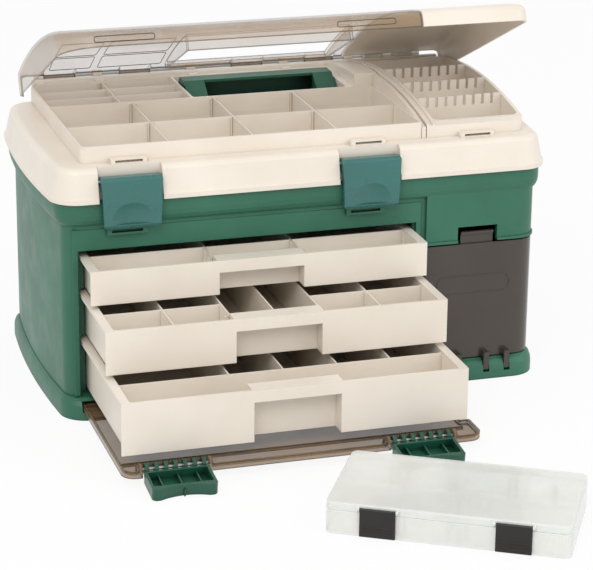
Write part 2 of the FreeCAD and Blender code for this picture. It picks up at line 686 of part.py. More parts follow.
def tub_outside(x, y, z):
    """The outside of the wall round one of the lid's hollows."""
    return slab((x[0] - TRAY_WALL, x[1] + TRAY_WALL), (y[0] - TRAY_WALL, y[1] + TRAY_WALL), z, 5)


def well_x():
    """The sides of the handle's well."""
    return LEFT + HANDLE_LEFT - HANDLE_CLEAR, LEFT + HANDLE_LEFT + HANDLE_WIDTH + HANDLE_CLEAR


def pockets():
    """Each hollow sunk in the lid's deck: x, y, floor height and corner radius."""
    rear_y = (TRAY_Y[1] + TRAY_WALL, BLOCK_BACK - TRAY_WALL)
    rack_x = (LEFT + RACK_LEFT, LEFT + RACK_LEFT + RACK_WIDTH)
    return {
        "front": (TRAY_X, TRAY_Y, TRAY_FLOOR, 4),
        "rear": ((TRAY_X[0], well_x()[0] - TRAY_WALL), rear_y, TRAY_FLOOR, 4),
        "rack": (rack_x, (FRONT + RACK_FRONT, FRONT + RACK_BACK), CROWN_PEAK - RACK_DEPTH, 6),
        "well": (well_x(), (TRAY_Y[1] + TRAY_WALL, FRONT + WELL_BACK), TRAY_RIM - WELL_DEPTH, 4),
    }


def lid_tubs():
    """The tubs that hang below the deck, each a piece of its own that gives way to those before it."""
    inside = lid_inside()
    tubs, before = {}, []
    for name, (x, y, floor, corner) in pockets().items():
        outside = tub_outside(x, y, (floor - TRAY_WALL, TUB_TOP))
        hollow = slab(x, y, (floor, TUB_TOP + 1), corner)
        tubs["lid_tub_" + name] = cut_by(outside.common(inside), hollow, *before, *handle_pin_solids())
        before.append(outside)
    return tubs


def hatch_x():
    """The sides of the hatch that the handle comes up through."""
    return LEFT + HANDLE_LEFT - HATCH_MARGIN, LEFT + HANDLE_LEFT + HANDLE_WIDTH + HATCH_MARGIN


def latch_bay(left):
    """The recess in the lid's front that a latch hangs in: its housing and its hollow."""
    x = (left - LATCH_GAP, left + LATCH_WIDTH + LATCH_GAP)
    back = FRONT + LATCH_PIVOT_FRONT + LATCH_ROUND - 2 * LATCH_PIVOT_FRONT + 1
    housing = box((x[0] - LID_WALL, x[1] + LID_WALL), (FRONT - LID_SPREAD, back + LID_WALL),
                  (LID_BASE, LEDGE))
    hollow = box(x, (FRONT - THROUGH, back), (LID_BASE - 1, LEDGE + 1))
    return housing, hollow


def lid_sections(bottom, inset):
    """The leaning band with its rounded top edge, set in by a wall: heights and spreads."""
    lean = LID_SPREAD - LID_DRAFT
    spreads = [(bottom, LID_SPREAD - inset), (LEDGE - LID_ROUND, lean - inset)]
    for turn in (20, 40, 60, 75, 90):
        angle = math.radians(turn)
        radius = LID_ROUND - inset
        spreads.append((LEDGE - LID_ROUND + radius * math.sin(angle),
                        lean - LID_ROUND + radius * math.cos(angle)))
    return [(z, spread, spread) for z, spread in spreads]


def lid_inside():
    """The room under the lid's deck, between its walls."""
    return case_loft(lid_sections(LID_BASE - 1, LID_WALL))


def lid_knuckles():
    """The outer thirds of each lid hinge, on the back of the band."""
    blanks, holes = [], []
    for left, right in LID_KNUCKLES:
        third = (right - left) / 3
        for x in ((LEFT + left, LEFT + left + third), (LEFT + right - third, LEFT + right)):
            web = ((BACK + 2, LID_BASE), (LID_HINGE_Y - 3, LID_BASE), (LID_HINGE_Y, LID_HINGE_Z),
                   (LID_HINGE_Y, LID_HINGE_Z + LID_HINGE_BARREL), (BACK + 2, LID_HINGE_Z + 14))
            blanks += [side_prism(web, x), rod(x, LID_HINGE_Y, LID_HINGE_Z, LID_HINGE_BARREL)]
        holes.append(rod((LEFT + left - 1, LEFT + right + 1), LID_HINGE_Y, LID_HINGE_Z,
                         LID_HINGE_ROD + RUNNING))
    return blanks, holes


def dome_lugs():
    """Ears at the back of the deck that hold the covers' rod between their knuckles."""
    lugs = []
    edges = [side for span in DOME_KNUCKLES for side in span]
    for left, right in zip(edges[1:-1:2], edges[2::2]):
        middle = LEFT + (left + right) / 2
        half = min(HINGE_LUG, right - left - 2 * KNUCKLE_GAP) / 2
        lugs.append((middle - half, middle + half))
    ends = (edges[0] - KNUCKLE_GAP - HINGE_LUG / 2, edges[-1] + KNUCKLE_GAP + HINGE_LUG / 2)
    return lugs + [(LEFT + end - HINGE_LUG / 2, LEFT + end + HINGE_LUG / 2) for end in ends]


def lid_deck():
    """The lid: a drafted band, a ledge, a raised block of trays, a crowned ridge and a rack well."""
    lip_top = LID_BASE + LID_LIP_HEIGHT
    lip = [(z, LID_SPREAD + LID_LIP, LID_SPREAD + LID_LIP) for z in (LID_BASE, lip_top)]
    band = case_loft(lip + lid_sections(lip_top + 1, 0))
    hinge_side = (BACK + LID_SPREAD, BACK + LID_SPREAD + THROUGH)
    band = band.cut(box((LEFT - THROUGH, RIGHT + THROUGH), hinge_side, (LID_BASE - 1, LEDGE)))
    inside = lid_inside()
    block_y = (TRAY_Y[0] - TRAY_WALL, BLOCK_BACK)
    block = slab((TRAY_X[0] - TRAY_WALL, TRAY_X[1] + TRAY_WALL), block_y, (LEDGE - 1, TRAY_RIM), (8, 2, 2, 8))
    well = pockets()["well"][0]
    crown_x = (hatch_x()[1] + DOME_WALL + 1, LEFT + RIDGE_LEFT - 1)
    crown = arched(crown_x, (TRAY_Y[1], BLOCK_BACK), LEDGE - 1, -1.5)
    shoulder = box((well[1] - 1, LEFT + RIDGE_LEFT - 1), (TRAY_Y[1], BLOCK_BACK), (LEDGE - 1, TRAY_RIM))
    side = arched((TRAY_X[1] + TRAY_WALL, LEFT + RIDGE_LEFT - 1), block_y, LEDGE - 1, -3)
    ridge_x = (LEFT + RIDGE_LEFT, LEFT + RIDGE_LEFT + RIDGE_WIDTH)
    rail = (RIDGE_WIDTH - RIDGE_GROOVE) / 2
    ridge = all_of(arched(ridge_x, block_y, LEDGE - 1, -1.5),
                   arched((ridge_x[0], ridge_x[0] + rail), block_y, LEDGE - 1, 0),
                   arched((ridge_x[1] - rail, ridge_x[1]), block_y, LEDGE - 1, 0))
    rack_plan = (LEFT, LEFT + RACK_LEFT + RACK_WIDTH + RACK_WALL)
    rack = arched((LEFT + RIDGE_LEFT + 2, rack_plan[1] + 1), (block_y[0] - 1, block_y[1] + 1), LEDGE - 1, -2)
    rack_corners = (8, RACK_CORNER, RACK_BACK_CORNER, 8)
    rack = rack.common(slab(rack_plan, block_y, (LEDGE - 1, CROWN_PEAK + 9), rack_corners))
    housings, bays = zip(*[latch_bay(LEFT + left) for left in LATCH_LEFT])
    knuckles, pin_holes = lid_knuckles()
    catches = [box((LEFT + at, LEFT + at + CATCH_WIDTH), (TRAY_Y[0] - TRAY_WALL - CATCH_DEPTH, TRAY_Y[0]),
                   (LEDGE - 1, LEDGE + CATCH_HEIGHT)) for at in CATCH_AT]
    lugs = []
    for x in dome_lugs():
        web = ((BLOCK_BACK - 3, HINGE_HEIGHT - 16), (HINGE_Y, HINGE_HEIGHT - HINGE_BARREL),
               (HINGE_Y, HINGE_HEIGHT), (BLOCK_BACK - 3, HINGE_HEIGHT - 4))
        lugs += [side_prism(web, x), rod(x, HINGE_Y, HINGE_HEIGHT, HINGE_BARREL)]
    shelf = box((TRAY_X[0], LEFT + RACK_LEFT + RACK_WIDTH), (BLOCK_BACK - 1, HINGE_Y - HINGE_BARREL - 1),
                (SHELF_HEIGHT, SHELF_HEIGHT + LID_WALL))
    raised = all_of(block, side, ridge, rack, crown, shoulder, shelf)
    under = cut_by(all_of(band, raised), inside)
    collars = [tub_outside(x, y, (TUB_TOP, TRAY_RIM - 2)) for x, y, _, _ in pockets().values()]
    housings = [housing.common(band) for housing in housings]
    solid = all_of(under, *collars, *housings, *knuckles, *catches, *lugs)
    hollows = [slab(x, y, (floor, CROWN_PEAK + 20), corner) for x, y, floor, corner in pockets().values()]
    catch_front = TRAY_Y[0] - TRAY_WALL - CATCH_DEPTH
    slots = [box((LEFT + at + CATCH_SLOT_INSET, LEFT + at + CATCH_WIDTH - CATCH_SLOT_INSET),
                 (catch_front - 1, catch_front + CATCH_SLOT_DEPTH),
                 (LEDGE + CATCH_SLOT[0], LEDGE + CATCH_SLOT[1])) for at in CATCH_AT]
    rod_way = rod((LEFT, RIGHT), HINGE_Y, HINGE_HEIGHT, HINGE_ROD)
    latch_ways = [latch_pin(left) for left in LATCH_LEFT]
    return cut_by(solid, *hollows, *bays, *slots, rod_way, *latch_ways, *handle_pin_solids(), *pin_holes)


def latch_pin(left):
    """The pin that a lid latch swings on."""
    x = (LEFT + left - LATCH_GAP - LID_WALL, LEFT + left + LATCH_WIDTH + LATCH_GAP + LID_WALL)
    return rod(x, FRONT - LATCH_PIVOT_FRONT, LATCH_PIVOT_HEIGHT, LATCH_PIN)


def tray_dividers():
    """The walls between the lid's trays, each a plate of its own."""
    z = (TRAY_FLOOR, TRAY_RIM - DIVIDER_DROP)
    middle = (TRAY_Y[0] + TRAY_Y[1]) / 2
    plates = [box(TRAY_X, (middle - DIVIDER / 2, middle + DIVIDER / 2), z)]
    column = (TRAY_X[1] - TRAY_X[0]) / 4
    for step in (1, 2, 3):
        x = TRAY_X[0] + column * step
        for y in ((TRAY_Y[0], middle - DIVIDER / 2), (middle + DIVIDER / 2, TRAY_Y[1])):
            plates.append(box((x - DIVIDER / 2, x + DIVIDER / 2), y, z))
    rear_x, rear_y, _, _ = pockets()["rear"]
    centre = (rear_x[0] + rear_x[1]) / 2
    plates.append(box((centre - DIVIDER / 2, centre + DIVIDER / 2), rear_y, z))
    row = (rear_y[1] - rear_y[0]) / 3
    for step in (1, 2):
        y = rear_y[0] + row * step
        for x in ((rear_x[0], centre - DIVIDER / 2), (centre + DIVIDER / 2, rear_x[1])):
            plates.append(box(x, (y - DIVIDER / 2, y + DIVIDER / 2), z))
    return group(plates)


def bait_rack(at):
    """A comb that hangs lures by their wires across the rack well."""
    x, _, _, _ = pockets()["rack"]
    y = (FRONT + at - COMB_THICKNESS / 2, FRONT + at + COMB_THICKNESS / 2)
    top = crown_height(FRONT + at, -1)
    plate = box(x, y, (top - COMB_HEIGHT, top))
    pitch = (x[1] - x[0]) / COMB_TEETH
    slots = []
    for step in range(1, COMB_TEETH):
        middle = x[0] + pitch * step
        slots.append(box((middle - COMB_SLOT / 2, middle + COMB_SLOT / 2), (y[0] - 1, y[1] + 1),
                         (top - COMB_SLOT_DEPTH, top + 1)))
    return cut_by(plate, *slots)


# Handle

def handle_pin_solids():
    """The two stub pins of the handle, through the walls of its well."""
    y = FRONT + HANDLE_PIVOT_BACK
    sides = well_x()
    reach = HANDLE_CLEAR + 8
    return [rod((sides[0] - TRAY_WALL, sides[0] + reach), y, HANDLE_PIVOT_HEIGHT, HANDLE_PIN),
            rod((sides[1] - reach, sides[1] + TRAY_WALL), y, HANDLE_PIVOT_HEIGHT, HANDLE_PIN)]


def handle():
    """A bail with a channel grip whose open side faces the hand."""
    x = (LEFT + HANDLE_LEFT, LEFT + HANDLE_LEFT + HANDLE_WIDTH)
    pivot_y = FRONT + HANDLE_PIVOT_BACK
    far = pivot_y + HANDLE_REACH
    low = HANDLE_PIVOT_HEIGHT - 2
    top = low + HANDLE_HEIGHT
    hub = HANDLE_PIN + 5
    knee = pivot_y + HANDLE_KNEE
    profile = ((pivot_y, HANDLE_PIVOT_HEIGHT - hub), (far - HANDLE_GRIP, low), (far, low), (far, top - 4),
               (far - 5, top), (far - HANDLE_GRIP, top), (knee, HANDLE_PIVOT_HEIGHT + hub + 2),
               (pivot_y, HANDLE_PIVOT_HEIGHT + hub - 0.1))
    solid = all_of(side_prism(profile, x), rod(x, pivot_y, HANDLE_PIVOT_HEIGHT, hub))
    gap = box((x[0] + HANDLE_ARM, x[1] - HANDLE_ARM), (pivot_y - THROUGH, far - HANDLE_GRIP), (0, top + 9))
    channel = box((x[0] + HANDLE_ARM - 4, x[1] - HANDLE_ARM + 4), (far - HANDLE_GRIP - 1, far - 3.5),
                  (low + 3, top - 3))
    holes = [rod((end.BoundBox.XMin, end.BoundBox.XMax), pivot_y, HANDLE_PIVOT_HEIGHT, HANDLE_PIN + RUNNING)
             for end in handle_pin_solids()]
    return cut_by(solid, gap, channel, *holes)


# Domed covers

def dome_solid(x, y, lift, corners, rounding):
    """A domed block over a stretch of the lid, rounded along its crown where the plan is rounded."""
    z = (LEDGE + FIT, CROWN_PEAK + THROUGH)
    block = arched((x[0] - 1, x[1] + 1), (y[0] - 1, y[1] + 1), LEDGE - 1, lift)
    dome = slab(x, y, z, corners).common(block)
    outside = x[0] if corners[0] else x[1]
    tops = [edge for edge in dome.Edges if edge.BoundBox.ZMin > LEDGE + 5 and not upright(edge)
            and (edge.BoundBox.YMax < y[0] + 1 or near_side(edge, outside))]
    return dome.makeFillet(rounding, tops)


def near_side(edge, side):
    """True for an edge that touches a cover's outer side."""
    bounds = edge.BoundBox
    return min(abs(bounds.XMin - side), abs(bounds.XMax - side)) < 0.01


def dome_cover(side, knuckles):
    """A thin domed cover with a skirt on its outer edges, open at the split and the back."""
    y = (FRONT + DOME_FRONT, HINGE_Y - HINGE_BARREL - 1)
    middle = LEFT + DOME_SPLIT
    if side == "left":
        corners = (DOME_CORNER, 0, 0, DOME_BACK_CORNER)
    else:
        corners = (0, RACK_COVER_CORNER, RACK_COVER_CORNER, 0)
    inner_corners = tuple(max(corner - DOME_WALL, 0) for corner in corners)
    if side == "left":
        x = (LEFT + DOME_INSET, middle - DOME_GAP / 2)
        inner_x = (x[0] + DOME_WALL, x[1] + 1)
    else:
        x = (middle + DOME_GAP / 2, LEFT + RACK_LEFT + RACK_WIDTH + RACK_WALL + RACK_COVER_SIDE)
        inner_x = (x[0] - 1, x[1] - DOME_WALL)
    outer = dome_solid(x, y, DOME_LIFT + DOME_WALL, corners, DOME_ROUND)
    inner_y = (y[0] + DOME_WALL, y[1] + 1)
    inner = dome_solid(inner_x, inner_y, DOME_LIFT, inner_corners, DOME_ROUND - DOME_WALL)
    skirt = box((x[0] - 1, x[1] + 1), (y[0] - 1, y[0] + DOME_WALL), (LEDGE, TRAY_RIM)).common(outer)
    bars, holes = [], []
    for left, right in knuckles:
        span = (LEFT + left, LEFT + right)
        web = ((y[1] - 8, crown_height(y[1] - 8, DOME_LIFT)),
               (y[1] - 8, crown_height(y[1] - 8, DOME_LIFT + DOME_WALL)),
               (HINGE_Y, HINGE_HEIGHT + HINGE_BARREL), (HINGE_Y, HINGE_HEIGHT), (y[1], HINGE_HEIGHT + 1))
        bars += [side_prism(web, span), rod(span, HINGE_Y, HINGE_HEIGHT, HINGE_BARREL)]
        holes.append(rod((span[0] - 1, span[1] + 1), HINGE_Y, HINGE_HEIGHT, HINGE_ROD + RUNNING))
    shell = all_of(outer.cut(inner), skirt, *bars)
    return cut_by(shell, *holes)


def opened(shape):
    """A cover swung up about the hinge rod to where it stands."""
    shape.rotate(Vector(0, HINGE_Y, HINGE_HEIGHT), Vector(1, 0, 0), -DOME_OPEN)
    return shape


def top_cover():
    """The see-through cover over the trays, with a skirted hatch for the handle."""
    cover = dome_cover("left", DOME_KNUCKLES[:4])
    side_x = hatch_x()
    y = (FRONT + HATCH_FRONT, FRONT + HATCH_BACK)
    outer_x = (side_x[0] - DOME_WALL, side_x[1] + DOME_WALL)
    outer_y = (y[0] - DOME_WALL, y[1] + DOME_WALL)
    skirt = arched(outer_x, outer_y, TRAY_RIM + DOME_LIFT, DOME_LIFT + DOME_WALL / 2)
    hatch = box(side_x, y, (0, CROWN_PEAK + THROUGH))
    cover = cut_by(all_of(cover, skirt), hatch)
    return opened(cover)


def rack_cover():
    """The solid cover over the rack well."""
    return opened(dome_cover("right", DOME_KNUCKLES[4:]))


def cover_hinge_rod():
    """The long rod that both domed covers turn on."""
    spans = dome_lugs()
    return rod((spans[-2][0], spans[-1][1]), HINGE_Y, HINGE_HEIGHT, HINGE_ROD)


# Latches of the lid

def latch_plan(x, y, z):
    """A block that narrows downwards and has rounded corners, seen from the front."""
    points = ((x[0], z[1]), (x[1], z[1]), (x[1] - LATCH_TAPER, z[0]), (x[0] + LATCH_TAPER, z[0]))
    face = Part.Face(Part.makePolygon([Vector(at, y[0], height) for at, height in points + points[:1]]))
    block = face.extrude(Vector(0, y[1] - y[0], 0))
    along = [edge for edge in block.Edges if edge.BoundBox.YLength > 1]
    return block.makeFillet(LATCH_CORNER, along)


def lid_latch(left):
    """A thumb latch with a rolled top, a bowed face and a half-moon scoop."""
    x = (LEFT + left, LEFT + left + LATCH_WIDTH)
    pivot_y = FRONT - LATCH_PIVOT_FRONT
    face = FRONT - LID_SPREAD - LATCH_WALL - 1.5
    clear = FRONT - LID_SPREAD - 0.6
    top = LATCH_PIVOT_HEIGHT
    points = ((pivot_y, top + LATCH_ROUND), (face + 4, top + LATCH_ROUND),
              (face + 1.5, top + LATCH_ROUND - 1), (face + 0.3, top + LATCH_ROUND - 3),
              (face - 0.8, top - 24), (face, LATCH_BOTTOM + 3), (face + 1.5, LATCH_BOTTOM),
              (clear, LATCH_BOTTOM), (clear, top - 12), (pivot_y + 1, top - LATCH_ROUND))
    blank = all_of(side_prism(points, x), rod(x, pivot_y, top, LATCH_ROUND))
    trim = latch_plan(x, (face - 9, pivot_y + LATCH_ROUND + 1), (LATCH_BOTTOM, top + LATCH_ROUND + 1))
    ball = (SCOOP_RADIUS ** 2 + SCOOP_DEPTH ** 2) / (2 * SCOOP_DEPTH)
    middle = (x[0] + x[1]) / 2
    scoop = Part.makeSphere(ball, Vector(middle, face - ball + SCOOP_DEPTH, LATCH_BOTTOM + 4))
    scoop = scoop.common(box(x, (face - 9, face + 9), (LATCH_BOTTOM + 4, top - 12)))
    hole = rod((x[0] - 1, x[1] + 1), pivot_y, top, LATCH_PIN + RUNNING)
    return cut_by(blank.common(trim), scoop, hole)


def lid_latch_pins():
    """One pin for each lid latch."""
    return group([latch_pin(left) for left in LATCH_LEFT])


def lid_hinge_rods():
    """One rod for each lid hinge."""
    return group([rod((LEFT + left, LEFT + right), LID_HINGE_Y, LID_HINGE_Z, LID_HINGE_ROD)
                  for left, right in LID_KNUCKLES])


# Side door

def side_door():
    """A see-through door that wraps the corner and drops on a bottom hinge."""
    z = (FOOT_HEIGHT + 2 * FIT, PANEL_BOTTOM - DOOR_GAP - 0.5)
    wall = side_ring(WRAP_SPREAD, DOOR_WALL, z, WRAP_DEPTH - DOOR_GAP)
    tab_x = (NOTCH_X[0] + 4, NOTCH_X[1] - 4)
    face = FRONT - WRAP_SPREAD
    tab = box(tab_x, (face + DOOR_WALL, face + 2 * DOOR_WALL), (z[1] - 16, PANEL_BOTTOM + NOTCH_HEIGHT - 6))
    bridge = box(tab_x, (face + DOOR_WALL - 1, face + 2 * DOOR_WALL), (z[1] - 16, z[1]))
    catch = box(tab_x, (face + DOOR_WALL - 2, face + 2 * DOOR_WALL),
                (PANEL_BOTTOM + NOTCH_HEIGHT - 9, PANEL_BOTTOM + NOTCH_HEIGHT - 6))
    arms = []
    for x in door_arm_spans():
        arms += [box(x, (DOOR_HINGE_Y - DOOR_BARREL, DOOR_HINGE_Y), (DOOR_HINGE_Z, z[0] + 2 * DOOR_BARREL)),
                 box(x, (DOOR_HINGE_Y - DOOR_BARREL, face + 1), (z[0] + 1, z[0] + 2 * DOOR_BARREL)),
                 rod(x, DOOR_HINGE_Y, DOOR_HINGE_Z, DOOR_BARREL)]
    arm_spans = door_arm_spans()
    hole = rod((arm_spans[0][0] - 1, arm_spans[-1][1] + 1), DOOR_HINGE_Y, DOOR_HINGE_Z, DOOR_PIN + RUNNING)
    back = FRONT + WRAP_DEPTH - DOOR_GAP
    corner = box((RIGHT - DOOR_CORNER, RIGHT + END_BOW + THROUGH), (back - DOOR_CORNER, back + 1),
                 (z[1] - DOOR_CORNER, z[1] + 1))
    round_centre = Vector(RIGHT - DOOR_CORNER, back - DOOR_CORNER, z[1] - DOOR_CORNER)
    corner = corner.cut(Part.makeCylinder(DOOR_CORNER, 2 * THROUGH, round_centre, Vector(1, 0, 0)))
    return cut_by(all_of(wall, tab, bridge, catch, *arms), hole, corner)


def side_door_pin():
    """The pin through the door's arms, held by the case's foot between them."""
    return door_pin_way()


# Utility box, modelled square to the axes and then set down in its place

def placed(shape):
    """A piece of the utility box turned and moved to where the box stands."""
    shape.rotate(Vector(0, 0, 0), Vector(0, 0, 1), BOX_TURN)
    shape.translate(Vector(LEFT + BOX_AT[0], FRONT + BOX_AT[1], 0))
    return shape


BOX_SEAM = BOX_HEIGHT - BOX_LID_HEIGHT
BOX_HINGE_Y = BOX_WIDTH + BOX_BARREL + FIT
BOX_LATCH_Y = -BOX_LATCH_THICKNESS / 2 - FIT


def box_knuckle_spans():
    """Barrels of the utility box's hinge: even ones are the lid's, odd ones the base's."""
    third = BOX_LENGTH / 5
    return [(third * step + KNUCKLE_GAP / 2, third * (step + 1) - KNUCKLE_GAP / 2) for step in range(1, 4)]


def utility_box_base():
    """The shallow tub of the utility box."""
    x, y = (0, BOX_LENGTH), (0, BOX_WIDTH)
    tub = slab(x, y, (0, BOX_SEAM), BOX_CORNER)
    hollow = slab((BOX_WALL, BOX_LENGTH - BOX_WALL), (BOX_WALL, BOX_WIDTH - BOX_WALL),
                  (BOX_WALL, BOX_SEAM + 1), BOX_CORNER - BOX_WALL)
    middle = box_knuckle_spans()[1]
    barrel = rod(middle, BOX_HINGE_Y, BOX_SEAM, BOX_BARREL)
    web = box(middle, (BOX_WIDTH - BOX_WALL, BOX_HINGE_Y), (BOX_SEAM - BOX_BARREL + FIT, BOX_SEAM - 0.5))
    hole = rod((middle[0] - 1, middle[1] + 1), BOX_HINGE_Y, BOX_SEAM, BOX_PIN)
    return placed(cut_by(all_of(tub.cut(hollow), barrel, web), hole))


def utility_dividers():
    """The partitions inside the utility box."""
    z = (BOX_WALL, BOX_SEAM - 1)
    inner_x = (BOX_WALL, BOX_LENGTH - BOX_WALL)
    middle = BOX_WIDTH / 2
    plates = [box(inner_x, (middle - DIVIDER / 2, middle + DIVIDER / 2), z)]
    for step in (1, 2, 3):
        x = BOX_LENGTH * step / 4
        for y in ((BOX_WALL, middle - DIVIDER / 2), (middle + DIVIDER / 2, BOX_WIDTH - BOX_WALL)):
            plates.append(box((x - DIVIDER / 2, x + DIVIDER / 2), y, z))
    return placed(group(plates))


def utility_box_lid():
    """The lid of the utility box, with lugs for its two latches."""
    z = (BOX_SEAM + FIT, BOX_HEIGHT)
    shell = slab((0, BOX_LENGTH), (0, BOX_WIDTH), z, BOX_CORNER)
    edges = [edge for edge in shell.Edges if edge.BoundBox.ZMin > BOX_HEIGHT - 0.01]
    shell = shell.makeFillet(2, edges)
    hollow = slab((BOX_WALL, BOX_LENGTH - BOX_WALL), (BOX_WALL, BOX_WIDTH - BOX_WALL),
                  (z[0] - 1, BOX_HEIGHT - BOX_WALL), BOX_CORNER - BOX_WALL)
    first, _, last = box_knuckle_spans()
    bars, holes = [], []
    for span in (first, last):
        bars.append(rod(span, BOX_HINGE_Y, BOX_SEAM, BOX_BARREL))
        bars.append(box(span, (BOX_WIDTH - BOX_WALL, BOX_HINGE_Y),
                        (BOX_SEAM + 0.5, BOX_SEAM + BOX_BARREL - FIT)))
        holes.append(rod((span[0] - 1, span[1] + 1), BOX_HINGE_Y, BOX_SEAM, BOX_PIN + RUNNING))
    for left in BOX_LATCHES:
        for x in ((left - 3, left - 0.5), (left + BOX_LATCH_WIDTH + 0.5, left + BOX_LATCH_WIDTH + 3)):
            bars.append(box(x, (BOX_LATCH_Y, 1), (z[0] + 1, BOX_HEIGHT - 2)))
            bars.append(rod(x, BOX_LATCH_Y, box_latch_height(), BOX_BARREL - 0.6))
    pins = utility_pin_solids()
    return placed(cut_by(all_of(shell.cut(hollow), *bars), *holes, *pins))


def box_latch_height():
    """The height of a utility latch's pin."""
    return BOX_HEIGHT - BOX_LID_HEIGHT / 2


def utility_pin_solids():
    """The latch pins of the utility box, before it is set in place."""
    return [rod((left - 3, left + BOX_LATCH_WIDTH + 3), BOX_LATCH_Y, box_latch_height(), BOX_PIN)
            for left in BOX_LATCHES]


def utility_latch(left):
    """A flat black latch that folds down over the front of the utility box."""
    x = (left, left + BOX_LATCH_WIDTH)
    z_pin = box_latch_height()
    y = (-BOX_LATCH_THICKNESS - FIT, -FIT)
    plate = slab(x, y, (1, z_pin), 0.5)
    ribs = [box((x[0] + 3, x[1] - 3), (y[0] - 0.6, y[0]), (at, at + 1)) for at in (5, 8, 11)]
    roll = rod(x, BOX_LATCH_Y, z_pin, BOX_LATCH_THICKNESS / 2)
    hole = rod((x[0] - 1, x[1] + 1), BOX_LATCH_Y, z_pin, BOX_PIN + RUNNING)
    return placed(cut_by(all_of(plate, roll, *ribs), hole))


def utility_hinge_pin():
    """The long pin of the utility box's hinge."""
    spans = box_knuckle_spans()
    return placed(rod((spans[0][0], spans[-1][1]), BOX_HINGE_Y, BOX_SEAM, BOX_PIN))


def utility_latch_pins():
    """Both latch pins, set in place with the box."""
    return placed(group(utility_pin_solids()))


def pieces():
    """Every node of the cabinet by name."""
    nodes = {
        "base_case": base_case(),
        "case_foot": case_foot(),
        "storage_floor": storage_floor(),
        "bay_deck": bay_deck(),
        "bay_partition": bay_partition(),
        "runner_panel_left": runner_panel("left"),
        "runner_panel_right": runner_panel("right"),
        "lid_hinge_rods": lid_hinge_rods(),
        "side_door": side_door(),
        "side_door_pin": side_door_pin(),
        "front_cover": front_cover(),
        "cover_latch_rods": clip_rods(),
        "lid_deck": lid_deck(),
        "tray_dividers": tray_dividers(),
        "lid_latch_pins": lid_latch_pins(),
        "cover_hinge_rod": cover_hinge_rod(),
        "handle": handle(),
        "handle_pins": group(handle_pin_solids()),
        "top_cover": top_cover(),
        "rack_cover": rack_cover(),
        "utility_box_base": utility_box_base(),
        "utility_box_lid": utility_box_lid(),
        "utility_dividers": utility_dividers(),
        "utility_hinge_pin": utility_hinge_pin(),
        "utility_latch_pins": utility_latch_pins(),
    }
    nodes.update(lid_tubs())
    for name, drawer in DRAWERS.items():
        nodes["drawer_" + name] = drawer_tray(drawer["floor"], drawer["height"], drawer["out"])
        nodes["drawer_" + name + "_dividers"] = drawer_dividers(name)
    for side, span in zip(("left", "right"), clip_spans()):
        nodes["cover_latch_" + side] = cover_latch(span)
    for side, left in zip(("left", "right"), LATCH_LEFT):
        nodes["lid_latch_" + side] = lid_latch(left)
    for side, left in zip(("left", "right"), BOX_LATCHES):
        nodes["utility_latch_" + side] = utility_latch(left)
    for place, at in zip(("front", "middle", "rear"), COMB_AT):
        nodes["bait_rack_" + place] = bait_rack(at)
    return nodes


os.makedirs("parts", exist_ok=True)
for node, shape in pieces().items():
    shape.exportStep(os.path.join("parts", node + ".step"))
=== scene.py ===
# %% [markdown]
# # A fishing tackle cabinet
# The cabinet comes in as a finished construction: a green case, pale drawers and trays, smoke covers and a
# clear utility box, each piece in its true place. What is left for this script is how they look. Every
# coordinate is in metres, with +Z up and the drawers towards -Y, so nothing has to be fitted.

import math

import bmesh
import bpy
from mathutils import Matrix, Vector


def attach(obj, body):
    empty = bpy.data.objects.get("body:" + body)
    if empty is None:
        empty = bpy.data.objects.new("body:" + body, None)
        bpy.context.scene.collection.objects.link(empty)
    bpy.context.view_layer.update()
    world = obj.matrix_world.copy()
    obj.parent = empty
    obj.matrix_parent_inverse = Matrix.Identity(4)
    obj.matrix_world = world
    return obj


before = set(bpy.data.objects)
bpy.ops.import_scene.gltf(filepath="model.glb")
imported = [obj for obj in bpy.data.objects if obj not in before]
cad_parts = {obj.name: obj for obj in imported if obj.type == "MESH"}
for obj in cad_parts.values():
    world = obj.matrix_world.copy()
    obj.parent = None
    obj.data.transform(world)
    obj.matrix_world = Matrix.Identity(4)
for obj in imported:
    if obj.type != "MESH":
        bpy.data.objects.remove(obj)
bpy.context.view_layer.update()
MM = 0.001

# %% [markdown]
# ## The camera
# A long lens stands well back, to the left of the cabinet and above it. A camera can be aimed by hand, but
# building its three directions from an azimuth, a dip and a small roll keeps each number readable.

# %% Camera
FRAME_WIDTH = 593.0
FRAME_HEIGHT = 570.0
FOCAL_PIXELS = 2400.0
CENTRE_PIXELS = (260.7, 267.6)
CAMERA_AT = Vector((-0.7295, -2.4263, 0.9666))
AZIMUTH = math.radians(16.54)
DIP = math.radians(18.94)
ROLL = math.radians(0.354)
SENSOR = 36.0
FARTHEST = 30.0


def add_camera():
    """A camera whose axes are worked out from its azimuth, dip and roll."""
    forward = Vector((math.sin(AZIMUTH) * math.cos(DIP), math.cos(AZIMUTH) * math.cos(DIP), -math.sin(DIP)))
    level = Vector((math.cos(AZIMUTH), -math.sin(AZIMUTH), 0.0))
    above = level.cross(forward)
    right = level * math.cos(ROLL) + above * math.sin(ROLL)
    up = right.cross(forward)
    turn = Matrix((right, up, -forward)).transposed().to_4x4()
    data = bpy.data.cameras.new("camera")
    data.sensor_width = SENSOR
    data.lens = FOCAL_PIXELS / FRAME_WIDTH * SENSOR
    data.shift_x = (FRAME_WIDTH / 2 - CENTRE_PIXELS[0]) / FRAME_WIDTH
    data.shift_y = -(FRAME_HEIGHT / 2 - CENTRE_PIXELS[1]) / FRAME_WIDTH
    data.clip_end = FARTHEST
    camera = bpy.data.objects.new("camera", data)
    camera.matrix_world = Matrix.Translation(CAMERA_AT) @ turn
    bpy.context.scene.collection.objects.link(camera)
    bpy.context.scene.camera = camera
    return camera


camera = add_camera()
print("lens", round(camera.data.lens, 1), "mm")

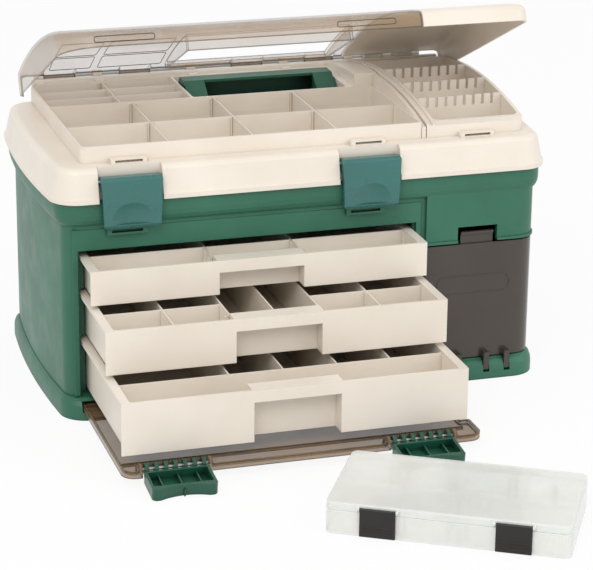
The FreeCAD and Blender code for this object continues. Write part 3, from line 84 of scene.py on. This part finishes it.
# %% [markdown]
# ## Writing shaders as sums
# A node tree drawn by hand is hard to read in a script. A small class that wraps one socket and overloads
# the arithmetic signs lets a mask be written as a sum, and each sign adds its own Math node. A second class
# holds one material, its Principled shader and one method that makes any other node.


# %% Shader helpers
class Wire:
    """One socket of a shader tree that can be used in a sum."""

    def __init__(self, finish, socket):
        self.finish = finish
        self.socket = socket

    def math(self, operation, *others):
        """A Math node with this socket as its first value."""
        inputs = {index: value for index, value in enumerate((self, *others))}
        return self.finish.node("ShaderNodeMath", {"operation": operation}, inputs)

    def __add__(self, other):
        return self.math("ADD", other)

    def __radd__(self, other):
        return self.math("ADD", other)

    def __sub__(self, other):
        return self.math("SUBTRACT", other)

    def __rsub__(self, other):
        return (self * -1.0).math("ADD", other)

    def __mul__(self, other):
        return self.math("MULTIPLY", other)

    def __rmul__(self, other):
        return self.math("MULTIPLY", other)

    def between(self, low, high):
        """0 below the low value, 1 above the high one, and smooth in between."""
        inputs = {"Value": self, "From Min": low, "From Max": high}
        return self.finish.node("ShaderNodeMapRange", {"interpolation_type": "SMOOTHSTEP"}, inputs, "Result")


class Finish:
    """One material: its tree, its Principled shader, and nodes made by name."""

    def __init__(self, name):
        self.material = bpy.data.materials.new(name)
        self.material.use_nodes = True
        self.tree = self.material.node_tree
        self.surface = self.tree.nodes["Principled BSDF"]
        self.place = self.node("ShaderNodeTexCoord", output="Object")

    def node(self, kind, settings=None, inputs=None, output=0):
        """Any node: its type, its settings first, then the values or links of its sockets."""
        made = self.tree.nodes.new(kind)
        for key, value in (settings or {}).items():
            setattr(made, key, value)
        for key, value in (inputs or {}).items():
            self.feed(made.inputs[key], value)
        return Wire(self, made.outputs[output])

    def feed(self, socket, value):
        """Links a wire to a socket, or sets a plain value on it."""
        if isinstance(value, Wire):
            self.tree.links.new(value.socket, socket)
        else:
            socket.default_value = value

    def set(self, **values):
        """Sockets of the Principled shader, with underscores for spaces."""
        for key, value in values.items():
            self.feed(self.surface.inputs[key.replace("_", " ")], value)

    def noise(self, size, detail=2.0, roughness=0.5, place=None):
        """Cloudy noise with lumps of about the given size in metres."""
        inputs = {"Vector": place or self.place, "Scale": 1.0 / size, "Detail": detail,
                  "Roughness": roughness}
        return self.node("ShaderNodeTexNoise", None, inputs)

    def cells(self, size):
        """Smooth pebbles of about the given size in metres."""
        inputs = {"Vector": self.place, "Scale": 1.0 / size, "Smoothness": 0.6}
        return self.node("ShaderNodeTexVoronoi", {"feature": "SMOOTH_F1"}, inputs, "Distance")

    def blend(self, factor, low, high):
        """A colour between two colours."""
        inputs = {MIX_FACTOR: factor, MIX_LOW: low, MIX_HIGH: high}
        return self.node("ShaderNodeMix", {"data_type": "RGBA"}, inputs, MIX_COLOUR)

    def corners(self, reach):
        """0 deep in a corner or pocket, 1 on open faces: the mask for painted shade."""
        open_sky = self.node("ShaderNodeAmbientOcclusion", {"samples": 4}, {"Distance": reach}, "AO")
        return open_sky.between(*OPEN_SKY)

    def edges(self, reach):
        """1 on edges and rims, 0 inside flat faces, from how far a rounded normal leans."""
        rounded = self.node("ShaderNodeBevel", {"samples": 6}, {"Radius": reach})
        true = self.node("ShaderNodeNewGeometry", output="True Normal")
        settings = {"operation": "DOT_PRODUCT"}
        lean = self.node("ShaderNodeVectorMath", settings, {0: rounded, 1: true}, "Value").math("ABSOLUTE")
        return (1.0 - lean).between(*EDGE_LEAN)

    def relief(self, height, depth):
        """Bump of a given depth in metres over edges that are a little rounded."""
        rounded = self.node("ShaderNodeBevel", {"samples": 4}, {"Radius": EDGE_ROUND})
        inputs = {"Height": height, "Distance": depth, "Strength": 1.0, "Normal": rounded}
        self.set(Normal=self.node("ShaderNodeBump", None, inputs))


MIX_FACTOR, MIX_LOW, MIX_HIGH, MIX_COLOUR = 0, 6, 7, 2
EDGE_ROUND = 0.7 * MM
OPEN_SKY = (0.15, 0.75)
EDGE_LEAN = (0.004, 0.1)


def colour(red, green, blue):
    """A colour that is written as it looks, in parts of 255."""
    parts = []
    for part in (red, green, blue):
        share = part / 255.0
        parts.append(share / 12.92 if share <= 0.04045 else ((share + 0.055) / 1.055) ** 2.4)
    return (*parts, 1.0)


print("a grey of 128 is", round(colour(128, 128, 128)[0], 3), "of full light")

# %% [markdown]
# ## Moulded plastic
# The case, the trays and the latches are injection-moulded. Such plastic isn't one even colour: it has
# faint clouds where it flowed, a fine pebble grain from the mould, and patches that hands have polished.
# Corners and pockets are darkened with painted shade, where an Ambient Occlusion node finds them from the
# mesh itself. One function makes them all, so that the pieces look like one family.


# %% Moulded plastics
def moulded(name, base, shade, roughness, grain, depth, gloss=0.0, pocket=9 * MM, painted_shade_level=0.55):
    """Opaque moulded plastic with clouds, a pebble grain, handling wear and painted shade in its pockets."""
    finish = Finish(name)
    clouds = finish.noise(CLOUD_SIZE, detail=4.0)
    specks = finish.noise(SPECK_SIZE, detail=1.0)
    polish = finish.noise(POLISH_SIZE, detail=3.0, roughness=0.6).between(*POLISH_EDGES)
    tone = clouds.between(*CLOUD_EDGES) * 0.75 + specks * 0.25
    painted_shade_colour = (*(part * painted_shade_level for part in shade[:3]), 1.0)
    # Painted shade: corners and pockets are darkened towards the painted shade colour.
    finish.set(Base_Color=finish.blend(finish.corners(pocket), painted_shade_colour, finish.blend(tone, shade, base)))
    finish.set(Roughness=roughness - polish * 0.07 + specks * 0.05)
    finish.set(Specular_IOR_Level=0.45, IOR=PLASTIC_IOR, Coat_Weight=gloss, Coat_Roughness=0.12)
    pebbles = finish.cells(grain)
    ripples = finish.noise(RIPPLE_SIZE, detail=1.0)
    finish.relief(pebbles + ripples * 1.5, depth)
    return finish.material


CLOUD_SIZE = 90 * MM
SPECK_SIZE = 2.2 * MM
POLISH_SIZE = 35 * MM
RIPPLE_SIZE = 28 * MM
CLOUD_EDGES = (0.3, 0.7)
POLISH_EDGES = (0.42, 0.68)
PLASTIC_IOR = 1.49
# The pocket reach and painted shade level set how far painted shade reaches into recesses and how dark it
# gets there.
green = moulded("green_plastic", colour(52, 112, 89), colour(43, 98, 77),
                roughness=0.42, grain=1.1 * MM, depth=0.07 * MM, painted_shade_level=0.4)
# The cover latches' low level paints the shadow in their hollow backs near black.
deep_green = moulded("deep_green_plastic", colour(26, 86, 66), colour(21, 74, 56),
                     roughness=0.34, grain=1.4 * MM, depth=0.03 * MM, gloss=0.1, pocket=11 * MM, painted_shade_level=0.12)
# The handle's long reach and very low level paint the shadow inside its grip channel near black.
handle_green = moulded("handle_green_plastic", colour(38, 96, 74), colour(30, 82, 62),
                       roughness=0.4, grain=1.1 * MM, depth=0.05 * MM, pocket=30 * MM, painted_shade_level=0.1)
teal = moulded("teal_plastic", colour(55, 114, 109), colour(46, 101, 97),
               roughness=0.28, grain=1.6 * MM, depth=0.03 * MM, gloss=0.3)
# Painted shade darkens the corners inside the beige trays a little.
beige = moulded("beige_plastic", colour(237, 228, 216), colour(228, 218, 204),
                roughness=0.4, grain=1.3 * MM, depth=0.025 * MM, gloss=0.1, pocket=6 * MM, painted_shade_level=0.82)
black = moulded("black_plastic", colour(34, 31, 30), colour(26, 24, 23),
                roughness=0.4, grain=0.9 * MM, depth=0.03 * MM)
door_dark = moulded("smoke_door_plastic", colour(67, 60, 52), colour(59, 52, 45),
                    roughness=0.2, grain=2.0 * MM, depth=0.015 * MM, gloss=0.25)
MOULDED = (green, deep_green, handle_green, teal, beige, black, door_dark)
print("moulded plastics:", ", ".join(plastic.name for plastic in MOULDED))

# %% [markdown]
# ## See-through plastic
# The covers are smoke-tinted and the utility box is nearly clear. Real thickness is already in their meshes,
# so a ray crosses two skins on a face and many at a rim, and a low opacity on each skin is enough. Tinted
# plastic also looks dense along its edges and where it is seen at a slant, because light runs further in it
# there. A rounded normal that leans away from the true one finds the edges, and Layer Weight the slant.


# %% See-through plastics
def see_through(name, base, shade, rim, opacity, haze, wave):
    """Clear or tinted plastic with a faint haze, fine scuffs, soft waves and dense rims."""
    finish = Finish(name)
    clouds = finish.noise(HAZE_SIZE, detail=3.0).between(*CLOUD_EDGES)
    scuffs = finish.noise(SCUFF_SIZE, detail=3.0, roughness=0.7).between(*SCUFF_EDGES)
    facing = finish.node("ShaderNodeLayerWeight", None, {"Blend": 0.5}, "Facing")
    rims = finish.edges(RIM_REACH).math("MAXIMUM", facing.between(*SLANT_EDGES) * SLANT_SHARE)
    finish.set(Base_Color=finish.blend(rims, finish.blend(clouds, shade, base), rim))
    finish.set(Alpha=opacity + clouds * haze + scuffs * haze + rims * RIM_DENSITY)
    finish.set(Roughness=scuffs * 0.1 + 0.14)
    finish.set(Specular_IOR_Level=0.35, IOR=PLASTIC_IOR, Coat_Weight=0.2, Coat_Roughness=0.06)
    finish.relief(finish.noise(WAVE_SIZE, detail=1.0), wave)
    return finish.material


HAZE_SIZE = 60 * MM
SCUFF_SIZE = 3.0 * MM
WAVE_SIZE = 22 * MM
RIM_REACH = 2.6 * MM
RIM_DENSITY = 0.5
SCUFF_EDGES = (0.55, 0.75)
SLANT_EDGES = (0.7, 1.0)
SLANT_SHARE = 0.8
smoke = see_through("smoke_plastic", colour(178, 147, 106), colour(166, 136, 95), colour(58, 47, 38),
                    opacity=0.2, haze=0.04, wave=0.12 * MM)
# The front cover's smoke is darker and more opaque than the top cover's: this paints the shadow that the
# drawers cast through it. The cover's beads use the same material.
dense_smoke_and_shade = see_through("dense_smoke_plastic", colour(152, 123, 88), colour(138, 111, 79),
                          colour(56, 45, 36), opacity=0.56, haze=0.05, wave=0.12 * MM)
clear = see_through("clear_plastic", colour(253, 253, 249), colour(250, 250, 245), colour(226, 230, 227),
                    opacity=0.46, haze=0.04, wave=0.03 * MM)
print("see-through plastics:", smoke.name, dense_smoke_and_shade.name, clear.name)

# %% [markdown]
# ## Steel pins
# Hinge rods are drawn wire: bright, with fine lines along their length. Stretching the noise along X lays
# those lines along each rod without any picture.


# %% Steel
def drawn_steel():
    """Bright wire with fine lines along it."""
    finish = Finish("drawn_steel")
    stretched = finish.node("ShaderNodeMapping", None, {"Vector": finish.place, "Scale": (0.04, 1.0, 1.0)})
    lines = finish.noise(LINE_SIZE, detail=2.0, place=stretched)
    finish.set(Base_Color=finish.blend(lines, colour(150, 150, 150), colour(196, 196, 194)))
    finish.set(Metallic=1.0, Roughness=lines * 0.2 + 0.22)
    finish.relief(lines, 0.02 * MM)
    return finish.material


LINE_SIZE = 0.5 * MM
steel = drawn_steel()
print("metal:", steel.name)

# %% [markdown]
# ## Dressing the nodes
# Each piece of the construction gets its plastic by name. A list of names beside each material is easier to
# check than a material chosen piece by piece, and the last line prints any piece that was forgotten.

# %% Materials by node
DRESS = [
    (green, ["base_case", "case_foot", "storage_floor", "bay_deck", "bay_partition",
             "runner_panel_left", "runner_panel_right"]),
    (handle_green, ["handle"]),
    (deep_green, ["cover_latch_left", "cover_latch_right"]),
    (teal, ["lid_latch_left", "lid_latch_right"]),
    (beige, ["lid_deck", "lid_tub_front", "lid_tub_rear", "lid_tub_well", "lid_tub_rack", "tray_dividers",
             "bait_rack_front", "bait_rack_middle", "bait_rack_rear", "rack_cover", "drawer_top",
             "drawer_middle", "drawer_bottom", "drawer_top_dividers", "drawer_middle_dividers",
             "drawer_bottom_dividers"]),
    (smoke, ["top_cover"]),
    (dense_smoke_and_shade, ["front_cover"]),
    (door_dark, ["side_door"]),
    (clear, ["utility_box_base", "utility_box_lid", "utility_dividers"]),
    (black, ["utility_latch_left", "utility_latch_right"]),
    (steel, ["lid_hinge_rods", "side_door_pin", "cover_latch_rods", "lid_latch_pins", "cover_hinge_rod",
             "handle_pins", "utility_hinge_pin", "utility_latch_pins"]),
]


def dress(piece, material):
    """One piece in one material."""
    piece.data.materials.clear()
    piece.data.materials.append(material)


for material, nodes in DRESS:
    for node in nodes:
        dress(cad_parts[node], material)
dressed = [node for _, nodes in DRESS for node in nodes]
print("dressed", len(dressed), "nodes; left:", sorted(set(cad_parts) - set(dressed)))

# %% [markdown]
# ## Adding pieces
# The small pieces that follow are made in three ways: copies set by Geometry Nodes, a curve with a round
# bead, and a bevelled cube. They all end alike, as a plain mesh on an object at the origin that is told which
# body carries it, so that end is written once. What made the mesh goes first, and its modifier with it.


# %% Piece helpers
def plain_mesh(maker):
    """The mesh that an object's modifiers or bead come to. The object itself is removed."""
    graph = bpy.context.evaluated_depsgraph_get()
    mesh = bpy.data.meshes.new_from_object(maker.evaluated_get(graph))
    bpy.data.objects.remove(maker)
    return mesh


def add_piece(name, mesh, body, material):
    """A mesh as one dressed piece that rides on a body."""
    mesh.name = name
    piece = bpy.data.objects.new(name, mesh)
    bpy.context.scene.collection.objects.link(piece)
    dress(piece, material)
    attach(piece, body)
    return piece


# %% [markdown]
# ## Divider slots
# The trays hold their dividers between short upright ribs, moulded on the walls. Those ribs are all alike,
# so one rib is made once and Geometry Nodes sets a copy on each place. Each rib is half sunk in its wall, and
# it gets thinner towards the top, as a moulding must to leave its mould. The tree has a named input for each
# size and for the plastic, and it ends by making its copies real.


# %% Rib tree
def rib_tree():
    """A node group that stands one tapering rib on each point of a mesh."""
    tree = bpy.data.node_groups.new("divider_ribs", "GeometryNodeTree")
    for name, kind in (("Places", "Geometry"), ("Height", "Float"), ("Radius", "Float"), ("Taper", "Float"),
                       ("Plastic", "Material")):
        tree.interface.new_socket(name, in_out="INPUT", socket_type="NodeSocket" + kind)
    tree.interface.new_socket("Ribs", in_out="OUTPUT", socket_type="NodeSocketGeometry")
    make, link = tree.nodes.new, tree.links.new
    given = make("NodeGroupInput").outputs
    top = make("ShaderNodeCombineXYZ")
    stem = make("GeometryNodeCurvePrimitiveLine")
    circle = make("GeometryNodeCurvePrimitiveCircle")
    circle.inputs["Resolution"].default_value = RIB_SIDES
    along = make("GeometryNodeSplineParameter")
    narrow = make("ShaderNodeMapRange")
    narrow.inputs["To Min"].default_value = 1.0
    thinner = make("GeometryNodeSetCurveRadius")
    sweep = make("GeometryNodeCurveToMesh")
    sweep.inputs["Fill Caps"].default_value = True
    copies = make("GeometryNodeInstanceOnPoints")
    real = make("GeometryNodeRealizeInstances")
    coat = make("GeometryNodeSetMaterial")
    link(given["Height"], top.inputs["Z"])
    link(top.outputs["Vector"], stem.inputs["End"])
    link(given["Radius"], circle.inputs["Radius"])
    link(along.outputs["Factor"], narrow.inputs["Value"])
    link(given["Taper"], narrow.inputs["To Max"])
    link(stem.outputs["Curve"], thinner.inputs["Curve"])
    link(narrow.outputs["Result"], thinner.inputs["Radius"])
    link(thinner.outputs["Curve"], sweep.inputs["Curve"])
    link(circle.outputs["Curve"], sweep.inputs["Profile Curve"])
    link(given["Places"], copies.inputs["Points"])
    link(sweep.outputs["Mesh"], copies.inputs["Instance"])
    link(copies.outputs["Instances"], real.inputs["Geometry"])
    link(real.outputs["Geometry"], coat.inputs["Geometry"])
    link(given["Plastic"], coat.inputs["Material"])
    link(coat.outputs["Geometry"], make("NodeGroupOutput").inputs["Ribs"])
    return tree


RIB_SIDES = 12
RIB_RADIUS = 1.0 * MM
RIB_TAPER = 0.55
ribs_on_points = rib_tree()
print("rib tree:", len(ribs_on_points.nodes), "nodes")

# %% [markdown]
# ## Standing the ribs
# The points are given as a bare mesh, and each of the modifier's inputs is set by its identifier before the
# object is first evaluated. The ribs' long sides are shaded smooth and their flat ends are not.


# %% Ribs on a list of places
def stand_ribs(name, places, height, body, material):
    """Ribs of one height on a list of places, as a piece that rides on a body."""
    points = bpy.data.meshes.new(name + "_places")
    points.from_pydata(places, [], [])
    maker = bpy.data.objects.new(name + "_places", points)
    bpy.context.scene.collection.objects.link(maker)
    modifier = maker.modifiers.new("ribs", "NODES")
    modifier.node_group = ribs_on_points
    wanted = {"Height": height, "Radius": RIB_RADIUS, "Taper": RIB_TAPER, "Plastic": material}
    for socket in ribs_on_points.interface.items_tree:
        if socket.name in wanted:
            modifier[socket.identifier] = wanted[socket.name]
    mesh = plain_mesh(maker)
    bpy.data.meshes.remove(points)
    for face in mesh.polygons:
        face.use_smooth = len(face.vertices) == 4
    add_piece(name, mesh, body, material)


print("rib radius:", round(RIB_RADIUS / MM, 2), "mm")

# %% [markdown]
# ## Finding where dividers meet walls
# A node of the construction can hold many loose plates. Walking from corner to corner over the edges of a
# merged copy finds each plate, and its two ends are where ribs stand, two on each side of the plate.


# %% Places for ribs
def plates_of(node):
    """The lowest and highest corner of each loose plate in a node, in the same order on every run."""
    mesh = bmesh.new()
    mesh.from_mesh(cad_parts[node].data)
    bmesh.ops.remove_doubles(mesh, verts=mesh.verts, dist=MERGE_WITHIN)
    waiting = set(mesh.verts)
    plates = []
    while waiting:
        reached = [waiting.pop()]
        for vert in reached:
            near = {edge.other_vert(vert) for edge in vert.link_edges} & waiting
            waiting -= near
            reached.extend(near)
        low = Vector([min(vert.co[axis] for vert in reached) for axis in range(3)])
        high = Vector([max(vert.co[axis] for vert in reached) for axis in range(3)])
        plates.append((low, high))
    mesh.free()
    return sorted(plates, key=lambda plate: (*plate[0], *plate[1]))


def slot_places(plates):
    """Rib places on both sides of each plate, where its two ends meet a wall."""
    places = []
    for low, high in plates:
        size = high - low
        thin, long = (0, 1) if size.x < size.y else (1, 0)
        for end in (low[long], high[long]):
            for offset in (-SLOT_HALF[1], -SLOT_HALF[0], SLOT_HALF[0], SLOT_HALF[1]):
                place = Vector((0.0, 0.0, low.z))
                place[thin] = (low[thin] + high[thin]) / 2 + offset
                place[long] = end
                places.append(tuple(place))
    return places


MERGE_WITHIN = 0.02 * MM
SLOT_HALF = (2.0 * MM, 4.6 * MM)
print("divider plates in the lid:", len(plates_of("tray_dividers")))

# %% [markdown]
# ## Ribs in every tray
# The lid, the three drawers and the utility box each get their own set, because each set has to move with the
# body that carries it.

# %% Ribs in every tray
RIBBED = {
    "tray_dividers": ("lid", beige, "beige_trays"),
    "drawer_top_dividers": ("drawer_top", beige, "beige_trays"),
    "drawer_middle_dividers": ("drawer_middle", beige, "beige_trays"),
    "drawer_bottom_dividers": ("drawer_bottom", beige, "beige_trays"),
    "utility_dividers": ("utility_box", clear, "clear_box"),
}
BELOW_PLATE = 1.0 * MM
rib_count = 0
for node, (body, material, slot) in RIBBED.items():
    plates = plates_of(node)
    height = min(high.z - low.z for low, high in plates) - BELOW_PLATE
    places = slot_places(plates)
    stand_ribs(node.replace("dividers", "slots"), places, height, body, material)
    rib_count += len(places)
print("ribs:", rib_count)

# %% [markdown]
# ## Raised outlines
# The covers and the door carry thin raised frames. Such a frame is a closed curve with a round bead, turned
# into a mesh and sunk to half its thickness, so that only a half-round line stands proud of the plastic.


# %% Raised outline
def raised_outline(name, width, height, corner, bead, to_place, body, material):
    """A rounded oblong bead, drawn flat round the origin and then put in its place by a matrix."""
    points = []
    for turn, (sx, sy) in enumerate(((1, 1), (-1, 1), (-1, -1), (1, -1))):
        for step in range(CORNER_STEPS + 1):
            angle = math.pi / 2 * (turn + step / CORNER_STEPS)
            points.append((sx * (width / 2 - corner) + corner * math.cos(angle),
                           sy * (height / 2 - corner) + corner * math.sin(angle), 0.0))
    curve = bpy.data.curves.new(name + "_line", "CURVE")
    curve.dimensions = "3D"
    curve.bevel_depth = bead
    curve.bevel_resolution = BEAD_STEPS
    spline = curve.splines.new("POLY")
    spline.points.add(len(points) - 1)
    for point, place in zip(spline.points, points):
        point.co = (*place, 1.0)
    spline.use_cyclic_u = True
    line = bpy.data.objects.new(name + "_line", curve)
    bpy.context.scene.collection.objects.link(line)
    mesh = plain_mesh(line)
    mesh.transform(to_place)
    for face in mesh.polygons:
        face.use_smooth = True
    return add_piece(name, mesh, body, material)


CORNER_STEPS = 8
BEAD_STEPS = 3
UPRIGHT = Matrix.Rotation(math.radians(90), 4, "X")
print("points in an outline:", 4 * (CORNER_STEPS + 1))

# %% [markdown]
# ## Outline on the door
# The dark door carries one long frame with round ends, across its upper half.

# %% Door outline
DOOR_FACE = -142.0 * MM
DOOR_OUTLINE_AT = Matrix.Translation((188.5 * MM, DOOR_FACE, 108.5 * MM))
door_outline = raised_outline("door_outline", width=83 * MM, height=20 * MM, corner=9 * MM, bead=0.7 * MM,
                              to_place=DOOR_OUTLINE_AT @ UPRIGHT, body="side_door", material=door_dark)
print("door outline:", len(door_outline.data.polygons), "faces")

# %% [markdown]
# ## Outlines on the smoke cover
# The smoke cover carries two long oblong beads on its front skirt and a grid of shallow panels on its plate.
# They are drawn for the closed cover and then turned about its hinge to where the cover stands. The plate is
# so gently arched that each panel's outline can be flat, if it leans as the plate does there.

# %% Cover outlines
COVER_HINGE = Vector((0.0, 151.5 * MM, 293.0 * MM))
COVER_OPEN = math.radians(-24.4)
SKIRT_FACE = -136.0 * MM
BEAD_HEIGHT = 278.5 * MM
SKIRT_BEADS = {"cover_bead_left": (-188.5 * MM, 63 * MM), "cover_bead_right": (70.0 * MM, 64 * MM)}
PANEL_COLUMNS = {"left": (-215 * MM, -168.5 * MM), "right": (-160 * MM, -87 * MM)}
PANEL_ROWS = {"rear": (104.5 * MM, 140 * MM, 301.2 * MM, math.radians(-10.0)),
              "front": (50 * MM, 100 * MM, 307.3 * MM, math.radians(-5.0))}
as_it_stands = (Matrix.Translation(COVER_HINGE) @ Matrix.Rotation(COVER_OPEN, 4, "X")
                @ Matrix.Translation(-COVER_HINGE))
for name, (x, width) in SKIRT_BEADS.items():
    on_skirt = Matrix.Translation((x, SKIRT_FACE, BEAD_HEIGHT)) @ UPRIGHT
    raised_outline(name, width, height=6 * MM, corner=2.6 * MM, bead=0.45 * MM,
                   to_place=as_it_stands @ on_skirt, body="top_cover", material=dense_smoke_and_shade)
for row, (near, far, height, lean) in PANEL_ROWS.items():
    for column, (left, right) in PANEL_COLUMNS.items():
        on_plate = (Matrix.Translation(((left + right) / 2, (near + far) / 2, height))
                    @ Matrix.Rotation(lean, 4, "X"))
        raised_outline(f"cover_panel_{row}_{column}", right - left, far - near, corner=3 * MM,
                       bead=0.4 * MM, to_place=as_it_stands @ on_plate, body="top_cover",
                       material=dense_smoke_and_shade)
print("cover outlines:", len(SKIRT_BEADS) + len(PANEL_ROWS) * len(PANEL_COLUMNS))

# %% [markdown]
# ## The shelf behind the trays
# Behind the trays the lid ends in a low pale shelf, and the cover's hinge stands over it. It is a plain bar
# with rounded edges, so a cube stretched between two corners and bevelled is all it takes.


# %% Hinge shelf
def rounded_bar(name, low, high, rounding, body, material):
    """A bar between two corners whose edges are rounded."""
    mesh = bmesh.new()
    bmesh.ops.create_cube(mesh, size=1.0)
    centre = (Vector(low) + Vector(high)) / 2
    size = Vector(high) - Vector(low)
    for vert in mesh.verts:
        vert.co = Vector(part * length for part, length in zip(vert.co, size)) + centre
    bmesh.ops.bevel(mesh, geom=mesh.edges[:], offset=rounding, segments=BAR_SEGMENTS, profile=0.5,
                    affect="EDGES")
    data = bpy.data.meshes.new(name)
    mesh.to_mesh(data)
    mesh.free()
    return add_piece(name, data, body, material)


BAR_SEGMENTS = 4
SHELF_LOW = (-235.0 * MM, 139.3 * MM, 281.5 * MM)
SHELF_HIGH = (246.0 * MM, 146.0 * MM, 292.5 * MM)
shelf = rounded_bar("hinge_shelf", SHELF_LOW, SHELF_HIGH, rounding=1.4 * MM, body="lid", material=beige)
print("hinge shelf:", len(shelf.data.polygons), "faces")

# %% [markdown]
# ## Floor and light
# A wide pale floor catches a soft shadow. Two large lamps and a pale sky light the piece evenly. Floor and
# sky are white only where the camera sees them and where glossy or clear surfaces show them, so that the
# white background adds no light to the cabinet.

# %% Stage
FLOOR_SIZE = 12.0
FLOOR_DROP = 0.4 * MM
FLOOR_SHADE = 0.86
FLOOR_WHITENESS = 0.9
SKY_STRENGTH = 0.79
SHOWN_RAYS = ("Is Camera Ray", "Is Glossy Ray", "Is Transmission Ray")


def white_for_view(finish, lit, whiteness):
    """A surface that is lit in the usual way but turns towards white where it is looked at."""
    path = finish.tree.nodes.new("ShaderNodeLightPath")
    camera_ray, glossy_ray, clear_ray = (Wire(finish, path.outputs[name]) for name in SHOWN_RAYS)
    seen = camera_ray.math("MAXIMUM", glossy_ray).math("MAXIMUM", clear_ray)
    glow = finish.node("ShaderNodeEmission", None, {"Color": (1.0, 1.0, 1.0, 1.0), "Strength": 1.0})
    return finish.node("ShaderNodeMixShader", None, {0: seen * whiteness, 1: lit, 2: glow})


def add_floor():
    """The floor under the cabinet."""
    bpy.ops.mesh.primitive_plane_add(size=FLOOR_SIZE, location=(0.0, 0.0, -FLOOR_DROP))
    floor = bpy.context.object
    floor.name = "floor"
    finish = Finish("floor_paper")
    grey = (FLOOR_SHADE, FLOOR_SHADE, FLOOR_SHADE, 1.0)
    shade = finish.node("ShaderNodeBsdfDiffuse", None, {"Color": grey})
    mixed = white_for_view(finish, shade, FLOOR_WHITENESS)
    output = finish.tree.nodes["Material Output"]
    finish.tree.links.new(mixed.socket, output.inputs["Surface"])
    finish.tree.nodes.remove(finish.surface)
    floor.data.materials.append(finish.material)


def add_lamp(name, place, aim, size, power):
    """A large square lamp that points at a place."""
    data = bpy.data.lights.new(name, "AREA")
    data.shape = "SQUARE"
    data.size = size
    data.energy = power
    lamp = bpy.data.objects.new(name, data)
    lamp.location = place
    lamp.rotation_euler = (Vector(aim) - Vector(place)).to_track_quat("-Z", "Y").to_euler()
    bpy.context.scene.collection.objects.link(lamp)


def add_sky():
    """A pale sky that is white where it is looked at."""
    world = bpy.data.worlds.new("sky")
    bpy.context.scene.world = world
    world.use_nodes = True
    tree = world.node_tree
    background = tree.nodes["Background"]
    path = tree.nodes.new("ShaderNodeLightPath")
    seen = path.outputs[SHOWN_RAYS[0]]
    for name in SHOWN_RAYS[1:]:
        either = tree.nodes.new("ShaderNodeMath")
        either.operation = "MAXIMUM"
        tree.links.new(seen, either.inputs[0])
        tree.links.new(path.outputs[name], either.inputs[1])
        seen = either.outputs[0]
    strength = tree.nodes.new("ShaderNodeMapRange")
    strength.inputs["To Min"].default_value = SKY_STRENGTH
    strength.inputs["To Max"].default_value = 1.0
    tree.links.new(seen, strength.inputs["Value"])
    tree.links.new(strength.outputs["Result"], background.inputs["Strength"])
    background.inputs["Color"].default_value = (1.0, 1.0, 1.0, 1.0)


LAMPS = {"key": ((-1.3, -2.2, 2.4), (0.0, -0.1, 0.15), 1.6, 37.0),
         "fill": ((2.2, -1.6, 1.6), (0.0, 0.0, 0.15), 1.8, 14.0)}
add_floor()
add_sky()
for name, (place, aim, size, power) in LAMPS.items():
    add_lamp(name, place, aim, size, power)
bpy.context.scene.view_settings.view_transform = "Standard"
print("lamps:", ", ".join(LAMPS))
